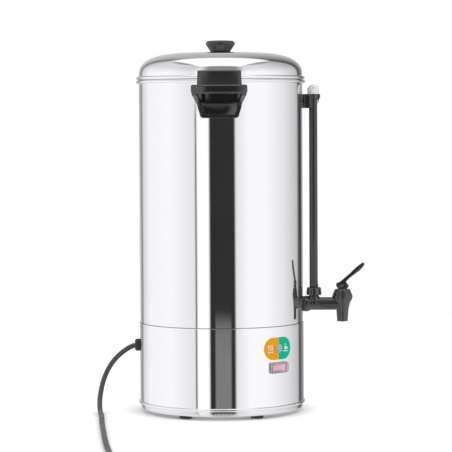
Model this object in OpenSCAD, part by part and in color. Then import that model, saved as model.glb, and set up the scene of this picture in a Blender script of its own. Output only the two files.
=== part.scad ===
// Hot water urn: a polished steel tank on a steel skirt, a domed bayonet lid,
// two moulded side handles that lock the lid, a lever tap with a sight gauge,
// and the heater, switch, pilot lamp and mains lead of the base.
// Millimetres. +Z is up and +X points to the tap. The origin is on the axis of
// the tank, at the surface that the feet stand on.

/* [Tank] */
// Outer diameter of the tank
tank_d = 239; // [210:1:260]
// Height from the tank floor to the top of the rim
tank_h = 361.4; // [320:0.2:420]
// Thickness of the steel sheet of the tank, lid and bottom pan
sheet = 0.8; // [0.6:0.1:1]
// Diameter of the rolled bead round the tank rim
rim_bead_d = 5; // [4:0.1:5.4]
// Radius of the corner between the tank wall and its floor
floor_corner_r = 6; // [4:0.5:10]
// Length of tank wall that stands inside the skirt
tank_lap = 8; // [6:0.5:12]

/* [Base] */
// Height of the skirt
skirt_h = 118.2; // [112:0.2:130]
// Thickness of the skirt sheet
skirt_wall = 0.6; // [0.5:0.1:0.8]
// Width of the skirt's turned-in bottom flange
skirt_flange_w = 10; // [8:0.5:14]
// Diameter of the rolled bead round the foot of the skirt
skirt_bead_d = 4.6; // [3.4:0.1:5]
// Height of the bottom pan's turned-down rim
pan_rim_h = 7.5; // [6:0.5:9]
// Height of a rubber foot
foot_h = 11.6; // [10.4:0.2:14]
// Diameter of a rubber foot where it meets the pan
foot_d = 20; // [17:0.5:21]
// Distance from the pan's rim in to the centre of a foot
foot_inset = 14; // [12:0.2:24]
// Angle of a foot from the line of the tap
foot_angle = 61; // [45:0.5:65]
// Distance from the skirt's wall in to the pan screws
pan_screw_inset = 6; // [5.6:0.2:7]

/* [Lid] */
// Distance that the lid's rolled rim stands out beyond the tank wall
lid_overhang = 3.5; // [3:0.1:5]
// Diameter of the bead rolled into the lid rim
lid_bead_d = 5.4; // [4.8:0.1:6]
// Height of the straight wall of the lid above its seat
lid_wall_h = 6; // [5:0.5:14]
// Height of the dome above that wall
lid_dome_h = 34; // [26:0.5:40]
// Depth of the centring lip inside the tank
lid_lip_h = 7; // [5:0.5:12]
// Diameter of the lid knob
knob_d = 42.4; // [38:0.2:48]
// Height of the lid knob
knob_h = 17; // [14:0.5:20]
// Diameter of the knob's foot
knob_foot_d = 28; // [26:0.5:32]

/* [Handles] */
// Width of a handle's mounting pad
pad_w = 61.5; // [56:0.5:63]
// Height of a handle's mounting pad
pad_h = 21.5; // [20:0.5:26]
// Distance from the tank rim down to the bottom of the pad
pad_drop = 55; // [54:0.5:60]
// Width of the grip
grip_w = 79; // [72:0.5:84]
// Height of the grip's front lip
grip_h = 12.5; // [10:0.5:13.5]
// Distance from the tank wall to the front of the grip
grip_reach = 46.5; // [44:0.5:56]
// Width of the lock block above the grip
lock_w = 61.4; // [56:0.2:66]
// Height of the lock block
lock_h = 19.5; // [19:0.5:22]
// Width of the lock block's tongue over the lid rim
tongue_w = 30; // [24:0.5:32]

/* [Tap] */
// Height of the tap's axis above the tank floor
tap_rise = 33.6; // [30:0.2:45]
// Distance from the tank wall to the spout's axis
tap_reach = 57.7; // [56:0.1:70]
// Outer diameter of the tap's tube
tap_tube_d = 18.8; // [17:0.1:19.4]
// Diameter of the water way in the tube
tap_bore_d = 9.6; // [8:0.1:10]
// Diameter of the tap's wall flange
tap_flange_d = 23.5; // [22.5:0.5:26]
// Diameter of the shank through the tank wall
shank_d = 15.8; // [14:0.1:16.5]
// Distance from the tube's axis down to the mouth of the spout
spout_drop = 26; // [22:0.2:34]
// Outer diameter of the spout at its mouth
spout_d = 16; // [14:0.1:16.5]
// Diameter of the spout's outlet
spout_bore_d = 9; // [7:0.1:10]
// Largest diameter of the bonnet
bonnet_d = 30.4; // [28:0.2:32]
// Height of the bonnet
bonnet_h = 13; // [12.5:0.1:16]
// Diameter of the valve stem
stem_d = 6; // [5:0.1:6.4]
// Diameter of the rubber seat cup
cup_d = 12; // [11:0.1:12.6]
// Width of the tap lever
lever_w = 11; // [10.4:0.2:14]
// Wire diameter of the valve spring
spring_wire = 0.9; // [0.7:0.1:1.1]

/* [Gauge] */
// Distance from the tank wall to the gauge's axis
gauge_reach = 16; // [15.8:0.1:22]
// Distance from the tank rim down to the top of the gauge guard
gauge_drop = 20.8; // [16:0.2:40]
// Outer diameter of the gauge glass
glass_d = 9.5; // [8:0.1:9.8]
// Wall of the gauge glass
glass_wall = 1.2; // [0.8:0.1:1.6]
// Outer diameter of the gauge guard
guard_d = 12.8; // [12.4:0.1:13.4]
// Wall of the gauge guard
guard_wall = 1.1; // [0.8:0.1:1.2]
// Diameter of the gauge nut at its base
gauge_nut_d = 22.4; // [20.4:0.2:23]
// Diameter of the vent cap
cap_d = 17.2; // [16:0.2:20]
// Height of the vent cap
cap_h = 13.7; // [12:0.1:16]

/* [Panel] */
// Angle of the lamp and switch from the tap, towards the near handle
panel_angle = 47; // [35:1:60]
// Distance from the top of the skirt down to the pilot lamp
lamp_drop = 31; // [28:0.5:36]
// Distance from the top of the skirt down to the switch
switch_drop = 58.4; // [56:0.2:70]
// Width of the indicator plate
plate_w = 51.5; // [48:0.5:60]
// Height of the indicator plate
plate_h = 32; // [28:0.5:35]
// Diameter of the pilot lens
lens_d = 12.6; // [11.6:0.1:14]
// Width of the switch bezel
bezel_w = 32; // [31.5:0.5:38]
// Height of the switch bezel
bezel_h = 16; // [15.6:0.2:18]
// Angle through which the rocker tips
rocker_travel = 16; // [12:1:18]

/* [Heater] */
// Diameter of the aluminium heat plate
plate_d = 140; // [130:1:160]
// Thickness of the heat plate
plate_t = 5; // [4:0.5:7]
// Diameter of the ring that the element is bent to
element_ring_d = 104; // [96:1:112]
// Diameter of the heating element's sheath
element_d = 8; // [6.5:0.1:8.5]

/* [Mains lead] */
// Diameter of the mains lead
cord_d = 7.4; // [7:0.1:7.8]
// Height of the gland above the foot of the skirt
gland_rise = 84.2; // [70:0.2:90]
// Diameter of the gland's outer head
gland_d = 18; // [17:0.5:20]
// Length of the gland outside the skirt
gland_out = 7.2; // [6:0.1:8]

/* [Fits] */
// Radial gap between the tank and the skirt
lap_gap = 0.2; // [0.1:0.05:0.3]
// Gap between a moving part and its seat
rest_gap = 0.3; // [0.2:0.05:0.4]
// Radial clearance of a running fit
run_gap = 0.08; // [0.05:0.01:0.1]
// Radial clearance of a screw, boss or body in its hole
hole_gap = 0.25; // [0.15:0.05:0.3]
// Gap between the lid's rolled rim and the lock blocks
lock_gap = 1; // [0.8:0.1:1.5]

/* [Hidden] */
$fn = 96;
eps = 0.01;

// Heights
skirt_z = foot_h + sheet;
skirt_top = skirt_z + skirt_h;
floor_z = skirt_top - tank_lap;
rim_z = floor_z + tank_h;
lid_z = rim_z + rest_gap;
tap_z = floor_z + tap_rise;

// Radii of the shells
tank_r = tank_d / 2;
tank_in_r = tank_r - sheet;
skirt_in_r = tank_r + lap_gap;
skirt_r = skirt_in_r + skirt_wall;
pan_inset = 1.1;
pan_r = skirt_r - pan_inset;
pan_rim_taper = 0.6;
pan_rim_round = 2.2;
foot_r = pan_r - foot_inset;
lid_rim_r = tank_r + lid_overhang;
lock_in_r = lid_rim_r + lock_gap;
seat_r = tank_r + rest_gap;

// Screws
m4_d = 4;
m5_d = 5;
m3_d = 3;
screw_head_ratio = 1.8;
screw_head_h_ratio = 0.55;
nut_ratio = 1.75;
nut_h_ratio = 0.8;

// ---------------------------------------------------------------- helpers

module ring_z(r_in, r_out, z0, z1) {
    rotate_extrude()
        translate([r_in, z0])
            square([r_out - r_in, z1 - z0]);
}

// A ring sector that is centred on +X
module sector_z(r_in, r_out, z0, z1, angle) {
    rotate([0, 0, -angle / 2])
        rotate_extrude(angle = angle)
            translate([r_in, z0])
                square([r_out - r_in, z1 - z0]);
}

// A rectangle with round corners, centred on the origin
// Points along an arc about a centre, with angles in degrees
function arc_points(centre, r, start, end, steps) = [
    for (i = [0:steps])
        let (a = start + (end - start) * i / steps)
            centre + r * [cos(a), sin(a)]
];

module round_rect(w, h, r) {
    square([w - 2 * r, h], center = true);
    square([w, h - 2 * r], center = true);
    for (x = [-1, 1], y = [-1, 1])
        translate([x * (w / 2 - r), y * (h / 2 - r)])
            circle(r = r);
}

// Stands an outline up so that it faces +X: its x runs along +Y and its y along +Z
module face_x(x0, x1) {
    translate([x0, 0, 0])
        rotate([90, 0, 90])
            linear_extrude(x1 - x0)
                children();
}

module rod_x(d, x0, x1) {
    translate([x0, 0, 0])
        rotate([0, 90, 0])
            cylinder(d = d, h = x1 - x0);
}

module rod_y(d, y0, y1) {
    translate([0, y1, 0])
        rotate([90, 0, 0])
            cylinder(d = d, h = y1 - y0);
}

// A pan-head screw: its thread points up and its head's seat is at z = 0
module pan_screw(d, length) {
    cylinder(d = d, h = length);
    difference() {
        rotate_extrude() {
            translate([0, -screw_head_h_ratio * d])
                square([screw_head_ratio * d / 2 - 0.6, screw_head_h_ratio * d]);
            translate([0, -screw_head_h_ratio * d + 0.6])
                square([screw_head_ratio * d / 2, screw_head_h_ratio * d - 0.6]);
        }
        for (turn = [0, 90])
            rotate([0, 0, turn])
                translate([0, 0, -screw_head_h_ratio * d])
                    cube([d, 0.2 * d, 0.5 * d], center = true);
    }
}

module hex_nut(d) {
    difference() {
        cylinder(d = nut_ratio * d * 2 / sqrt(3), h = nut_h_ratio * d, $fn = 6);
        translate([0, 0, -1])
            cylinder(d = d + 2 * run_gap, h = nut_h_ratio * d + 2);
    }
}

// ------------------------------------------------------------------- tank

handle_screw_angle = 7;
handle_screw_z = rim_z - pad_drop + pad_h / 2;
bracket_z = rim_z - gauge_drop;
bracket_h = 20.5;
bracket_screw_z = bracket_z - bracket_h / 2;
stud_d = 6;
stud_len = 26;

module tank_shell() {
    rim_r = rim_bead_d / 2;
    rotate_extrude() {
        difference() {
            union() {
                translate([0, floor_z])
                    square([tank_r - floor_corner_r, tank_h - rim_r]);
                translate([0, floor_z + floor_corner_r])
                    square([tank_r, tank_h - rim_r - floor_corner_r]);
                translate([tank_r - floor_corner_r, floor_z + floor_corner_r])
                    circle(r = floor_corner_r);
            }
            translate([-1, floor_z + sheet])
                square([tank_r - floor_corner_r + 1, tank_h]);
            translate([-1, floor_z + floor_corner_r])
                square([tank_in_r + 1, tank_h]);
            translate([tank_r - floor_corner_r, floor_z + floor_corner_r])
                circle(r = floor_corner_r - sheet);
        }
        translate([tank_in_r + rim_r, rim_z - rim_r])
            circle(r = rim_r);
    }
}

module tank() {
    color([0.82, 0.83, 0.84])
        difference() {
            union() {
                tank_shell();
                translate([0, 0, floor_z - stud_len])
                    cylinder(d = stud_d, h = stud_len + sheet / 2);
            }
            translate([0, 0, tap_z])
                rod_x(shank_d + 2 * hole_gap, tank_in_r - 10, tank_r + 10);
            for (side = [-90, 90], a = [-1, 1])
                rotate([0, 0, side + a * handle_screw_angle])
                    translate([0, 0, handle_screw_z])
                        rod_x(m5_d + 2 * hole_gap, tank_in_r - 5, tank_r + 5);
            translate([0, 0, bracket_screw_z])
                rod_x(m4_d + 2 * hole_gap, tank_in_r - 5, tank_r + 5);
        }
}

// ------------------------------------------------------------------- base

lamp_z = skirt_top - lamp_drop;
switch_z = skirt_top - switch_drop;
gland_z = skirt_z + gland_rise;
lamp_thread_d = 9.6;
switch_body_w = 29.2;
switch_body_h = 12.4;
gland_thread_d = 13;
pan_screw_angles = [30, 150, 270];
pan_screw_r = skirt_in_r - pan_screw_inset;
skirt_flange_in_r = skirt_in_r - skirt_flange_w;

module base_skirt() {
    bead_r = skirt_bead_d / 2;
    color([0.82, 0.83, 0.84])
        difference() {
            rotate_extrude() {
                translate([skirt_in_r, skirt_z])
                    square([skirt_wall, skirt_h]);
                translate([skirt_flange_in_r, skirt_z])
                    square([skirt_flange_w + skirt_wall, skirt_wall]);
                translate([skirt_r - skirt_wall, skirt_z + bead_r])
                    circle(r = bead_r);
            }
            rotate([0, 0, -panel_angle]) {
                translate([0, 0, lamp_z])
                    rod_x(lamp_thread_d + 2 * hole_gap, skirt_in_r - 10, skirt_r + 5);
                translate([0, 0, switch_z])
                    face_x(skirt_in_r - 10, skirt_r + 5)
                        square([switch_body_w + 2 * hole_gap,
                                switch_body_h + 2 * hole_gap], center = true);
            }
            rotate([0, 0, 180])
                translate([0, 0, gland_z])
                    rod_x(gland_thread_d + 2 * hole_gap, skirt_in_r - 10, skirt_r + 5);
            for (a = pan_screw_angles)
                rotate([0, 0, a])
                    translate([pan_screw_r, 0, skirt_z - 1])
                        cylinder(d = m3_d + 2 * run_gap, h = 4);
        }
}

vent_count = 10;
vent_r = 62;
vent_l = 22;
vent_w = 3;
cutout_pos = [-27, 0];
reset_hole_d = 10;
terminal_inset = 44.2;
terminal_pos = [terminal_inset - skirt_in_r, 0];

// The pan's rim turns down and in, round the point round_at of its section
module bottom_pan() {
    round_at = [pan_r - pan_rim_taper - pan_rim_round, skirt_z - pan_rim_h + pan_rim_round];
    color([0.72, 0.73, 0.74])
        difference() {
            rotate_extrude()
                polygon(concat(
                    [[0, skirt_z], [0, foot_h], [pan_r - sheet - 0.1, foot_h]],
                    arc_points(round_at, pan_rim_round - sheet, 0, -80, 4),
                    arc_points(round_at, pan_rim_round, -80, 0, 6),
                    [[pan_r, skirt_z]]
                ));
            for (p = foot_places())
                translate([p[0], p[1], foot_h - 1])
                    cylinder(d = m4_d + 2 * hole_gap, h = sheet + 2);
            for (a = pan_screw_angles)
                rotate([0, 0, a])
                    translate([pan_screw_r, 0, foot_h - 1])
                        cylinder(d = m3_d + 2 * hole_gap, h = sheet + 2);
            for (i = [0:vent_count - 1])
                rotate([0, 0, (i + 0.5) * 360 / vent_count])
                    translate([vent_r, 0, foot_h - 1])
                        linear_extrude(sheet + 2)
                            round_rect(vent_w, vent_l, vent_w / 2 - eps);
            translate([cutout_pos[0], cutout_pos[1], foot_h - 1])
                cylinder(d = reset_hole_d, h = sheet + 2);
        }
}

function foot_places() = [
    for (y = [-1, 1], x = [-1, 1])
        foot_r * [x * cos(foot_angle), y * sin(foot_angle)]
];
foot_tip_d = foot_d - 2;
foot_recess_d = screw_head_ratio * m4_d + 1;
foot_recess_h = 5;

module foot(p) {
    color([0.09, 0.09, 0.09])
        translate([p[0], p[1], 0])
            difference() {
                rotate_extrude()
                    polygon([
                        [0, 0], [foot_tip_d / 2 - 0.8, 0], [foot_tip_d / 2, 0.8],
                        [foot_d / 2, foot_h - 0.6], [foot_d / 2 - 0.4, foot_h],
                        [0, foot_h]
                    ]);
                translate([0, 0, -1])
                    cylinder(d = foot_recess_d, h = foot_recess_h + 1);
                cylinder(d = m4_d + 2 * hole_gap, h = foot_h + 1);
            }
}

module foot_1() { foot(foot_places()[0]); }
module foot_2() { foot(foot_places()[1]); }
module foot_3() { foot(foot_places()[2]); }
module foot_4() { foot(foot_places()[3]); }

module foot_screws() {
    color([0.7, 0.7, 0.72])
        for (p = foot_places())
            translate([p[0], p[1], foot_recess_h])
                pan_screw(m4_d, skirt_z - foot_recess_h + nut_h_ratio * m4_d + 1);
}

module foot_nuts() {
    color([0.7, 0.7, 0.72])
        for (p = foot_places())
            translate([p[0], p[1], skirt_z])
                hex_nut(m4_d);
}

module pan_screws() {
    color([0.7, 0.7, 0.72])
        for (a = pan_screw_angles)
            rotate([0, 0, a])
                translate([pan_screw_r, 0, foot_h])
                    pan_screw(m3_d, 6);
}

// -------------------------------------------------------------------- lid

dome_power = 4.3;
dome_round = 0.41;
dome_steps = 24;
lid_wall_top = lid_z + lid_wall_h;
lid_top = lid_wall_top + lid_dome_h;
lip_r = tank_in_r - 0.8;
notch_side_gap = 3;
notch_w = tongue_w + 2 * notch_side_gap;
notch_wall_gap = 0.4;

// Height of a dome of radius r_max and height h at the radius r
function dome_z(r, r_max, h) = h * pow(1 - pow(r / r_max, dome_power), dome_round);

function dome_points(r_max, h) = [
    for (i = [0:dome_steps])
        let (r = r_max * cos(90 * i / dome_steps))
            [r, lid_wall_top + dome_z(r, r_max, h)]
];

function reversed(list) = [for (i = [len(list) - 1:-1:0]) list[i]];

module lid_shell() {
    bead_r = lid_bead_d / 2;
    web_z = lid_z + bead_r;
    color([0.82, 0.83, 0.84])
        difference() {
            rotate_extrude() {
                polygon(concat(
                    [[tank_r, web_z]],
                    dome_points(tank_r, lid_dome_h),
                    reversed(dome_points(tank_in_r, lid_dome_h - sheet)),
                    [[tank_in_r, web_z]]
                ));
                translate([lid_rim_r - bead_r, lid_z + bead_r])
                    circle(r = bead_r);
                translate([tank_in_r - 0.6, web_z - sheet])
                    square([lid_rim_r - bead_r - tank_in_r + 0.6, sheet]);
                translate([lip_r - sheet, rim_z - lid_lip_h])
                    square([sheet, web_z - rim_z + lid_lip_h]);
                translate([lip_r - sheet, web_z - sheet])
                    square([tank_r - lip_r, sheet]);
            }
            translate([0, 0, lid_top - 5])
                cylinder(d = m5_d + 2 * hole_gap, h = 10);
            for (side = [-90, 90])
                rotate([0, 0, side])
                    translate([tank_r + notch_wall_gap, -notch_w / 2, lid_z - 1])
                        cube([4 * lid_overhang, notch_w, lid_bead_d + 2]);
        }
}

knob_washer_t = 0.8;
knob_z = lid_top + knob_washer_t;
knob_screw_len = 14;

knob_edge_r = 4;
knob_crown = 0.8;
knob_recess = 0.8;

// A bowl-shaped knob: a cone from the foot that runs into the round upper edge
module lid_knob() {
    foot_r = knob_foot_d / 2;
    edge_at = [knob_d / 2 - knob_edge_r, knob_h - knob_crown - knob_edge_r];
    run = edge_at - [foot_r, 0];
    start = atan2(run[1], run[0]) - asin(knob_edge_r / norm(run)) - 90;
    color([0.1, 0.1, 0.1])
        translate([0, 0, knob_z])
            difference() {
                rotate_extrude()
                    polygon(concat(
                        [[0, 0], [foot_r, 0]],
                        arc_points(edge_at, knob_edge_r, start, 90, 8),
                        [[0.5 * edge_at[0], knob_h - 0.25 * knob_crown], [0, knob_h]]
                    ));
                translate([0, 0, -1])
                    cylinder(d = m5_d + 2 * run_gap, h = knob_screw_len);
                ring_z(foot_r - 6, foot_r - 2.5, -1, knob_recess);
            }
}

module lid_knob_washer() {
    color([0.2, 0.2, 0.2])
        ring_z(m5_d / 2 + hole_gap, knob_foot_d / 2 + 1, lid_top, knob_z);
}

module lid_knob_screw() {
    color([0.75, 0.75, 0.77])
        translate([0, 0, lid_top - sheet - rest_gap])
            pan_screw(m5_d, knob_screw_len - 2);
}

// ---------------------------------------------------------------- handles

plate_thick = 5;
pad_depth = 9.7;
pocket_depth = 3;
pocket_side = 6.4;
pocket_low = 3.6;
pocket_high = 1.6;
pad_corner_r = 5;
pad_taper = 3;
pad_straight = 7;
back_w = 47;
shelf_t = 4;
lip_t = 10;
lip_round = 3;
gusset_t = 6.6;
web_inset = 0.8;
web_drop = 0.8;
shelf_overlap = 1.5;
lock_depth = 8;
lock_flare = 1;
tongue_in_r = tank_r + 1.6;
tongue_gap = 0.5;
pad_z = rim_z - pad_drop;
lock_top = lid_z + lid_bead_d + tongue_gap + 5.8;
lock_z = lock_top - lock_h;
shelf_z = lock_z - 1;
grip_r = tank_r + grip_reach;
lip_mid_r = grip_r - lip_t / 2;
grip_angle = 2 * asin((grip_w / 2 - lip_t / 2) / lip_mid_r);

// The outline of the pad, as wide as w at its top and as high as h, with round lower
// corners and sides that draw in downwards
module pad_outline(w, h, r) {
    low_x = w / 2 - pad_taper - r;
    polygon(concat(
        [[w / 2, h - pad_straight], [w / 2, h], [-w / 2, h], [-w / 2, h - pad_straight]],
        arc_points([-low_x, r], r, 180, 270, 6),
        arc_points([low_x, r], r, 270, 360, 6)
    ));
}

// Half of the grip lip's section, from its middle outwards
module lip_half_section() {
    square([lip_t / 2 - lip_round, grip_h]);
    translate([0, lip_round])
        square([lip_t / 2, grip_h - 2 * lip_round]);
    for (z = [lip_round, grip_h - lip_round])
        intersection() {
            translate([lip_t / 2 - lip_round, z])
                circle(r = lip_round);
            square([lip_t, grip_h]);
        }
}

module grip_lip() {
    translate([0, 0, shelf_z - grip_h]) {
        rotate([0, 0, -grip_angle / 2])
            rotate_extrude(angle = grip_angle)
                translate([lip_mid_r, 0]) {
                    lip_half_section();
                    mirror([1, 0])
                        lip_half_section();
                }
        for (side = [-1, 1])
            rotate([0, 0, side * grip_angle / 2])
                translate([lip_mid_r, 0, 0])
                    rotate_extrude()
                        lip_half_section();
    }
}

// The side webs run from the pad's front corners to the ends of the lip
web_x0 = seat_r + plate_thick;
web_y0 = pad_w / 2 - gusset_t;
web_run_x = lip_mid_r * cos(grip_angle / 2) - web_x0;
web_run_y = grip_w / 2 - web_inset - gusset_t - web_y0;
function web_y(x) = web_y0 + (x - web_x0) * web_run_y / web_run_x;

// The flat shelf from the back plate to the lip, which ends inside the side webs
module grip_shelf() {
    back_x = seat_r - 5;
    back_y = web_y(back_x) + gusset_t / 2;
    front_y = web_y(grip_r) + gusset_t / 2;
    intersection() {
        translate([0, 0, shelf_z - shelf_t])
            linear_extrude(shelf_t)
                polygon([[back_x, -back_y], [grip_r, -front_y], [grip_r, front_y],
                         [back_x, back_y]]);
        ring_z(seat_r, lip_mid_r + shelf_overlap, shelf_z - shelf_t, shelf_z);
    }
}

// The side web, a thick strut that sweeps from the pad's side up to one end of the lip,
// with an open three-cornered window above it
module side_gusset() {
    length = sqrt(web_run_x * web_run_x + web_run_y * web_run_y) - web_drop;
    top = shelf_z - web_drop - pad_z;
    low = pad_h - pad_straight;
    end_z = top - grip_h;
    window_z = top - shelf_t - 0.5;
    translate([web_x0, web_y0, pad_z])
        rotate([90, 0, atan2(web_run_y, web_run_x)])
            translate([0, 0, -gusset_t])
                linear_extrude(gusset_t)
                    difference() {
                        polygon([
                            [-2, low], [1, low], [2.5, low + 2.4], [5, low + 5],
                            [9, low + 7.4], [14.5, low + 9.4],
                            [length - 11, end_z - 5.6], [length - 5, end_z - 3],
                            [length - 1.5, end_z - 1.8], [length, end_z], [length, top],
                            [-2, top]
                        ]);
                        polygon([
                            [2.5, low + 11], [10, low + 12.2], [18, low + 14.2],
                            [length - 8, end_z + 0.6], [length - 8, window_z],
                            [2.5, window_z]
                        ]);
                    }
}

// The lock block, which widens a little downwards, and its tongue over the lid rim
module lock_block() {
    low_z = shelf_z - shelf_t;
    low_y = lock_w / 2 + lock_flare;
    difference() {
        intersection() {
            ring_z(lock_in_r, lock_in_r + lock_depth, low_z, lock_top);
            face_x(lock_in_r - 20, lock_in_r + 20)
                polygon([[-low_y, low_z], [low_y, low_z], [lock_w / 2, lock_top],
                         [-lock_w / 2, lock_top]]);
        }
        rotate_extrude()
            polygon([
                [lock_in_r + lock_depth - 1.5, lock_top + eps],
                [lock_in_r + lock_depth + 1, lock_top + eps],
                [lock_in_r + lock_depth + 1, lock_top - 2.5]
            ]);
    }
    intersection() {
        ring_z(tongue_in_r, lock_in_r + 1, lid_z + lid_bead_d + tongue_gap, lock_top);
        translate([tank_r - 2, -tongue_w / 2, lock_z])
            cube([20, tongue_w, lock_h + 1]);
    }
}

module handle(side) {
    color([0.1, 0.1, 0.1])
        rotate([0, 0, side])
            difference() {
                union() {
                    intersection() {
                        ring_z(seat_r, seat_r + plate_thick, pad_z, shelf_z);
                        face_x(seat_r - 10, seat_r + 10)
                            translate([-back_w / 2, pad_z + pad_corner_r])
                                square([back_w, shelf_z - pad_z - pad_corner_r]);
                    }
                    intersection() {
                        ring_z(seat_r, seat_r + pad_depth + 4, pad_z, pad_z + pad_h);
                        face_x(seat_r - 10, seat_r + pad_depth)
                            translate([0, pad_z])
                                pad_outline(pad_w, pad_h, pad_corner_r);
                    }
                    grip_shelf();
                    grip_lip();
                    side_gusset();
                    mirror([0, 1, 0])
                        side_gusset();
                    lock_block();
                }
                face_x(seat_r + pad_depth - pocket_depth, seat_r + pad_depth + 5)
                    translate([0, pad_z + pocket_low])
                        pad_outline(pad_w - 2 * pocket_side,
                                    pad_h - pocket_low - pocket_high, pad_corner_r / 2);
                for (a = [-1, 1])
                    rotate([0, 0, a * handle_screw_angle])
                        translate([0, 0, handle_screw_z])
                            rod_x(m5_d + 2 * run_gap, seat_r - 5, handle_screw_tip + 0.3);
            }
}

module handle_near() { handle(-90); }
module handle_far() { handle(90); }

handle_washer_t = 1;
handle_washer_d = 11;
handle_washer_r = tank_in_r - 0.2;
handle_screw_tip = seat_r + 5.6;

module handle_screws() {
    head_r = handle_washer_r - handle_washer_t;
    color([0.75, 0.75, 0.77])
        for (side = [-90, 90], a = [-1, 1])
            rotate([0, 0, side + a * handle_screw_angle])
                translate([head_r, 0, handle_screw_z])
                    rotate([0, 90, 0])
                        pan_screw(m5_d, handle_screw_tip - head_r);
}

module handle_washers() {
    color([0.15, 0.15, 0.15])
        for (side = [-90, 90], a = [-1, 1])
            rotate([0, 0, side + a * handle_screw_angle])
                translate([0, 0, handle_screw_z])
                    difference() {
                        rod_x(handle_washer_d, handle_washer_r - handle_washer_t,
                              handle_washer_r);
                        rod_x(m5_d + 2 * run_gap, tank_in_r - 10, tank_r);
                    }
}

// -------------------------------------------------------------------- tap

tap_x = tank_r + tap_reach;
gauge_x = tank_r + gauge_reach;
washer_t = 2;
flange_t = 6;
shank_in = 20;
lock_nut_d = 26;
lock_nut_t = 6;
inner_washer_d = 24;
inner_washer_t = 2;
flange_x = seat_r + washer_t;
inner_face_x = sqrt(pow(tank_in_r, 2) - pow(inner_washer_d / 2, 2)) - 0.05;
seat_dz = -5.6;
shoulder_dz = 8;
neck_d = 22;
neck_h = 7;
chamber_top_r = 9.6;
chamber_seat_r = cup_d / 2 + 0.6;
bonnet_z = tap_z + shoulder_dz + 0.2;
bonnet_top = bonnet_z + bonnet_h;
ceiling_z = tap_z + shoulder_dz + neck_h + 0.2;
boss_d = 14.6;
boss_h = 18.4;
glass_z = tap_z + 11;
glass_top = bracket_z + 4;
seal_d = 11.8;
seal_h = 4.6;
seal_z = tap_z + boss_h - 3.6;
plug_cap_d = 5.4;

module tap_body() {
    color([0.09, 0.09, 0.09])
        translate([0, 0, tap_z])
            difference() {
                union() {
                    rod_x(shank_d, flange_x - shank_in - washer_t, flange_x + 1);
                    translate([flange_x, 0, 0])
                        rotate([0, 90, 0])
                            rotate_extrude()
                                polygon([
                                    [0, 0], [tap_flange_d / 2 - 0.5, 0],
                                    [tap_flange_d / 2, 0.8],
                                    [tap_flange_d / 2 - 0.5, flange_t],
                                    [tap_tube_d / 2 + 1, flange_t],
                                    [tap_tube_d / 2 + 0.8, flange_t + 2], [0, flange_t + 2]
                                ]);
                    tap_tube();
                    valve_outside();
                    gauge_boss();
                }
                rod_x(tap_bore_d, flange_x - shank_in - washer_t - 1, tap_x);
                valve_chamber();
                translate([gauge_x, 0, 0]) {
                    cylinder(d = glass_d - 2 * glass_wall, h = boss_h + 1);
                    translate([0, 0, glass_z - tap_z])
                        cylinder(d = glass_d + 2 * run_gap, h = boss_h);
                    translate([0, 0, seal_z - tap_z])
                        cylinder(d = seal_d + 2 * run_gap, h = boss_h);
                }
            }
}

// The level tube, with its top faced flat where the bonnet seats
module tap_tube() {
    difference() {
        rod_x(tap_tube_d, flange_x + 1, tap_x);
        translate([tap_x, 0, shoulder_dz])
            cylinder(d = bonnet_d + 2 * hole_gap, h = tap_tube_d);
    }
}

// The valve body round the spout's axis
module valve_outside() {
    translate([tap_x, 0, 0])
        rotate_extrude()
            polygon([
                [0, -spout_drop], [spout_d / 2 - 0.3, -spout_drop],
                [spout_d / 2, -spout_drop + 0.5], [spout_d / 2 + 0.8, -10],
                [bonnet_d / 2 - 5.2, -4], [bonnet_d / 2 - 3.7, 1.2],
                [bonnet_d / 2 - 1.1, 6], [bonnet_d / 2 - 0.6, shoulder_dz],
                [neck_d / 2, shoulder_dz], [neck_d / 2, shoulder_dz + neck_h],
                [0, shoulder_dz + neck_h]
            ]);
}

module valve_chamber() {
    translate([tap_x, 0, 0])
        rotate_extrude()
            polygon([
                [0, -spout_drop - 1], [spout_bore_d / 2, -spout_drop - 1],
                [spout_bore_d / 2, seat_dz], [chamber_seat_r, seat_dz],
                [chamber_top_r, 4], [chamber_top_r, shoulder_dz + neck_h + 1],
                [0, shoulder_dz + neck_h + 1]
            ]);
}

// The upright boss that the gauge stands in, with the plugged cross hole beside it
module gauge_boss() {
    translate([gauge_x, 0, 0]) {
        rotate_extrude()
            polygon([
                [0, 0], [boss_d / 2 + 1.6, 0], [boss_d / 2 + 1.6, tap_tube_d / 2 - 1],
                [boss_d / 2, tap_tube_d / 2 + 2.6], [boss_d / 2, boss_h], [0, boss_h]
            ]);
        translate([0, 0, 1])
            rod_y(plug_cap_d, -tap_tube_d / 2 - 1.4, 0);
    }
}

// A rubber washer that follows the round wall of the tank on one face
module tap_wall_washer() {
    color([0.14, 0.14, 0.14])
        difference() {
            translate([0, 0, tap_z])
                rod_x(tap_flange_d - 1.5, tank_r - 2, flange_x);
            translate([0, 0, tap_z - tap_flange_d])
                cylinder(r = seat_r - 0.1, h = 2 * tap_flange_d, $fn = 720);
            translate([0, 0, tap_z])
                rod_x(shank_d + 2 * run_gap, tank_r - 5, flange_x + 1);
        }
}

module tap_inner_washer() {
    color([0.14, 0.14, 0.14])
        translate([0, 0, tap_z])
            difference() {
                rod_x(inner_washer_d, inner_face_x - inner_washer_t, inner_face_x);
                rod_x(shank_d + 2 * run_gap, inner_face_x - 5, inner_face_x + 5);
            }
}

module tap_lock_nut() {
    back_x = inner_face_x - inner_washer_t - lock_nut_t;
    color([0.75, 0.75, 0.77])
        translate([back_x, 0, tap_z])
            rotate([0, 90, 0])
                difference() {
                    rotate([0, 0, 30])
                        cylinder(d = lock_nut_d, h = lock_nut_t, $fn = 6);
                    translate([0, 0, -1])
                        cylinder(d = shank_d + 2 * run_gap, h = lock_nut_t + 2);
                }
}

bonnet_mark_d = 2.4;
bonnet_top_d = 22.6;

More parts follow.
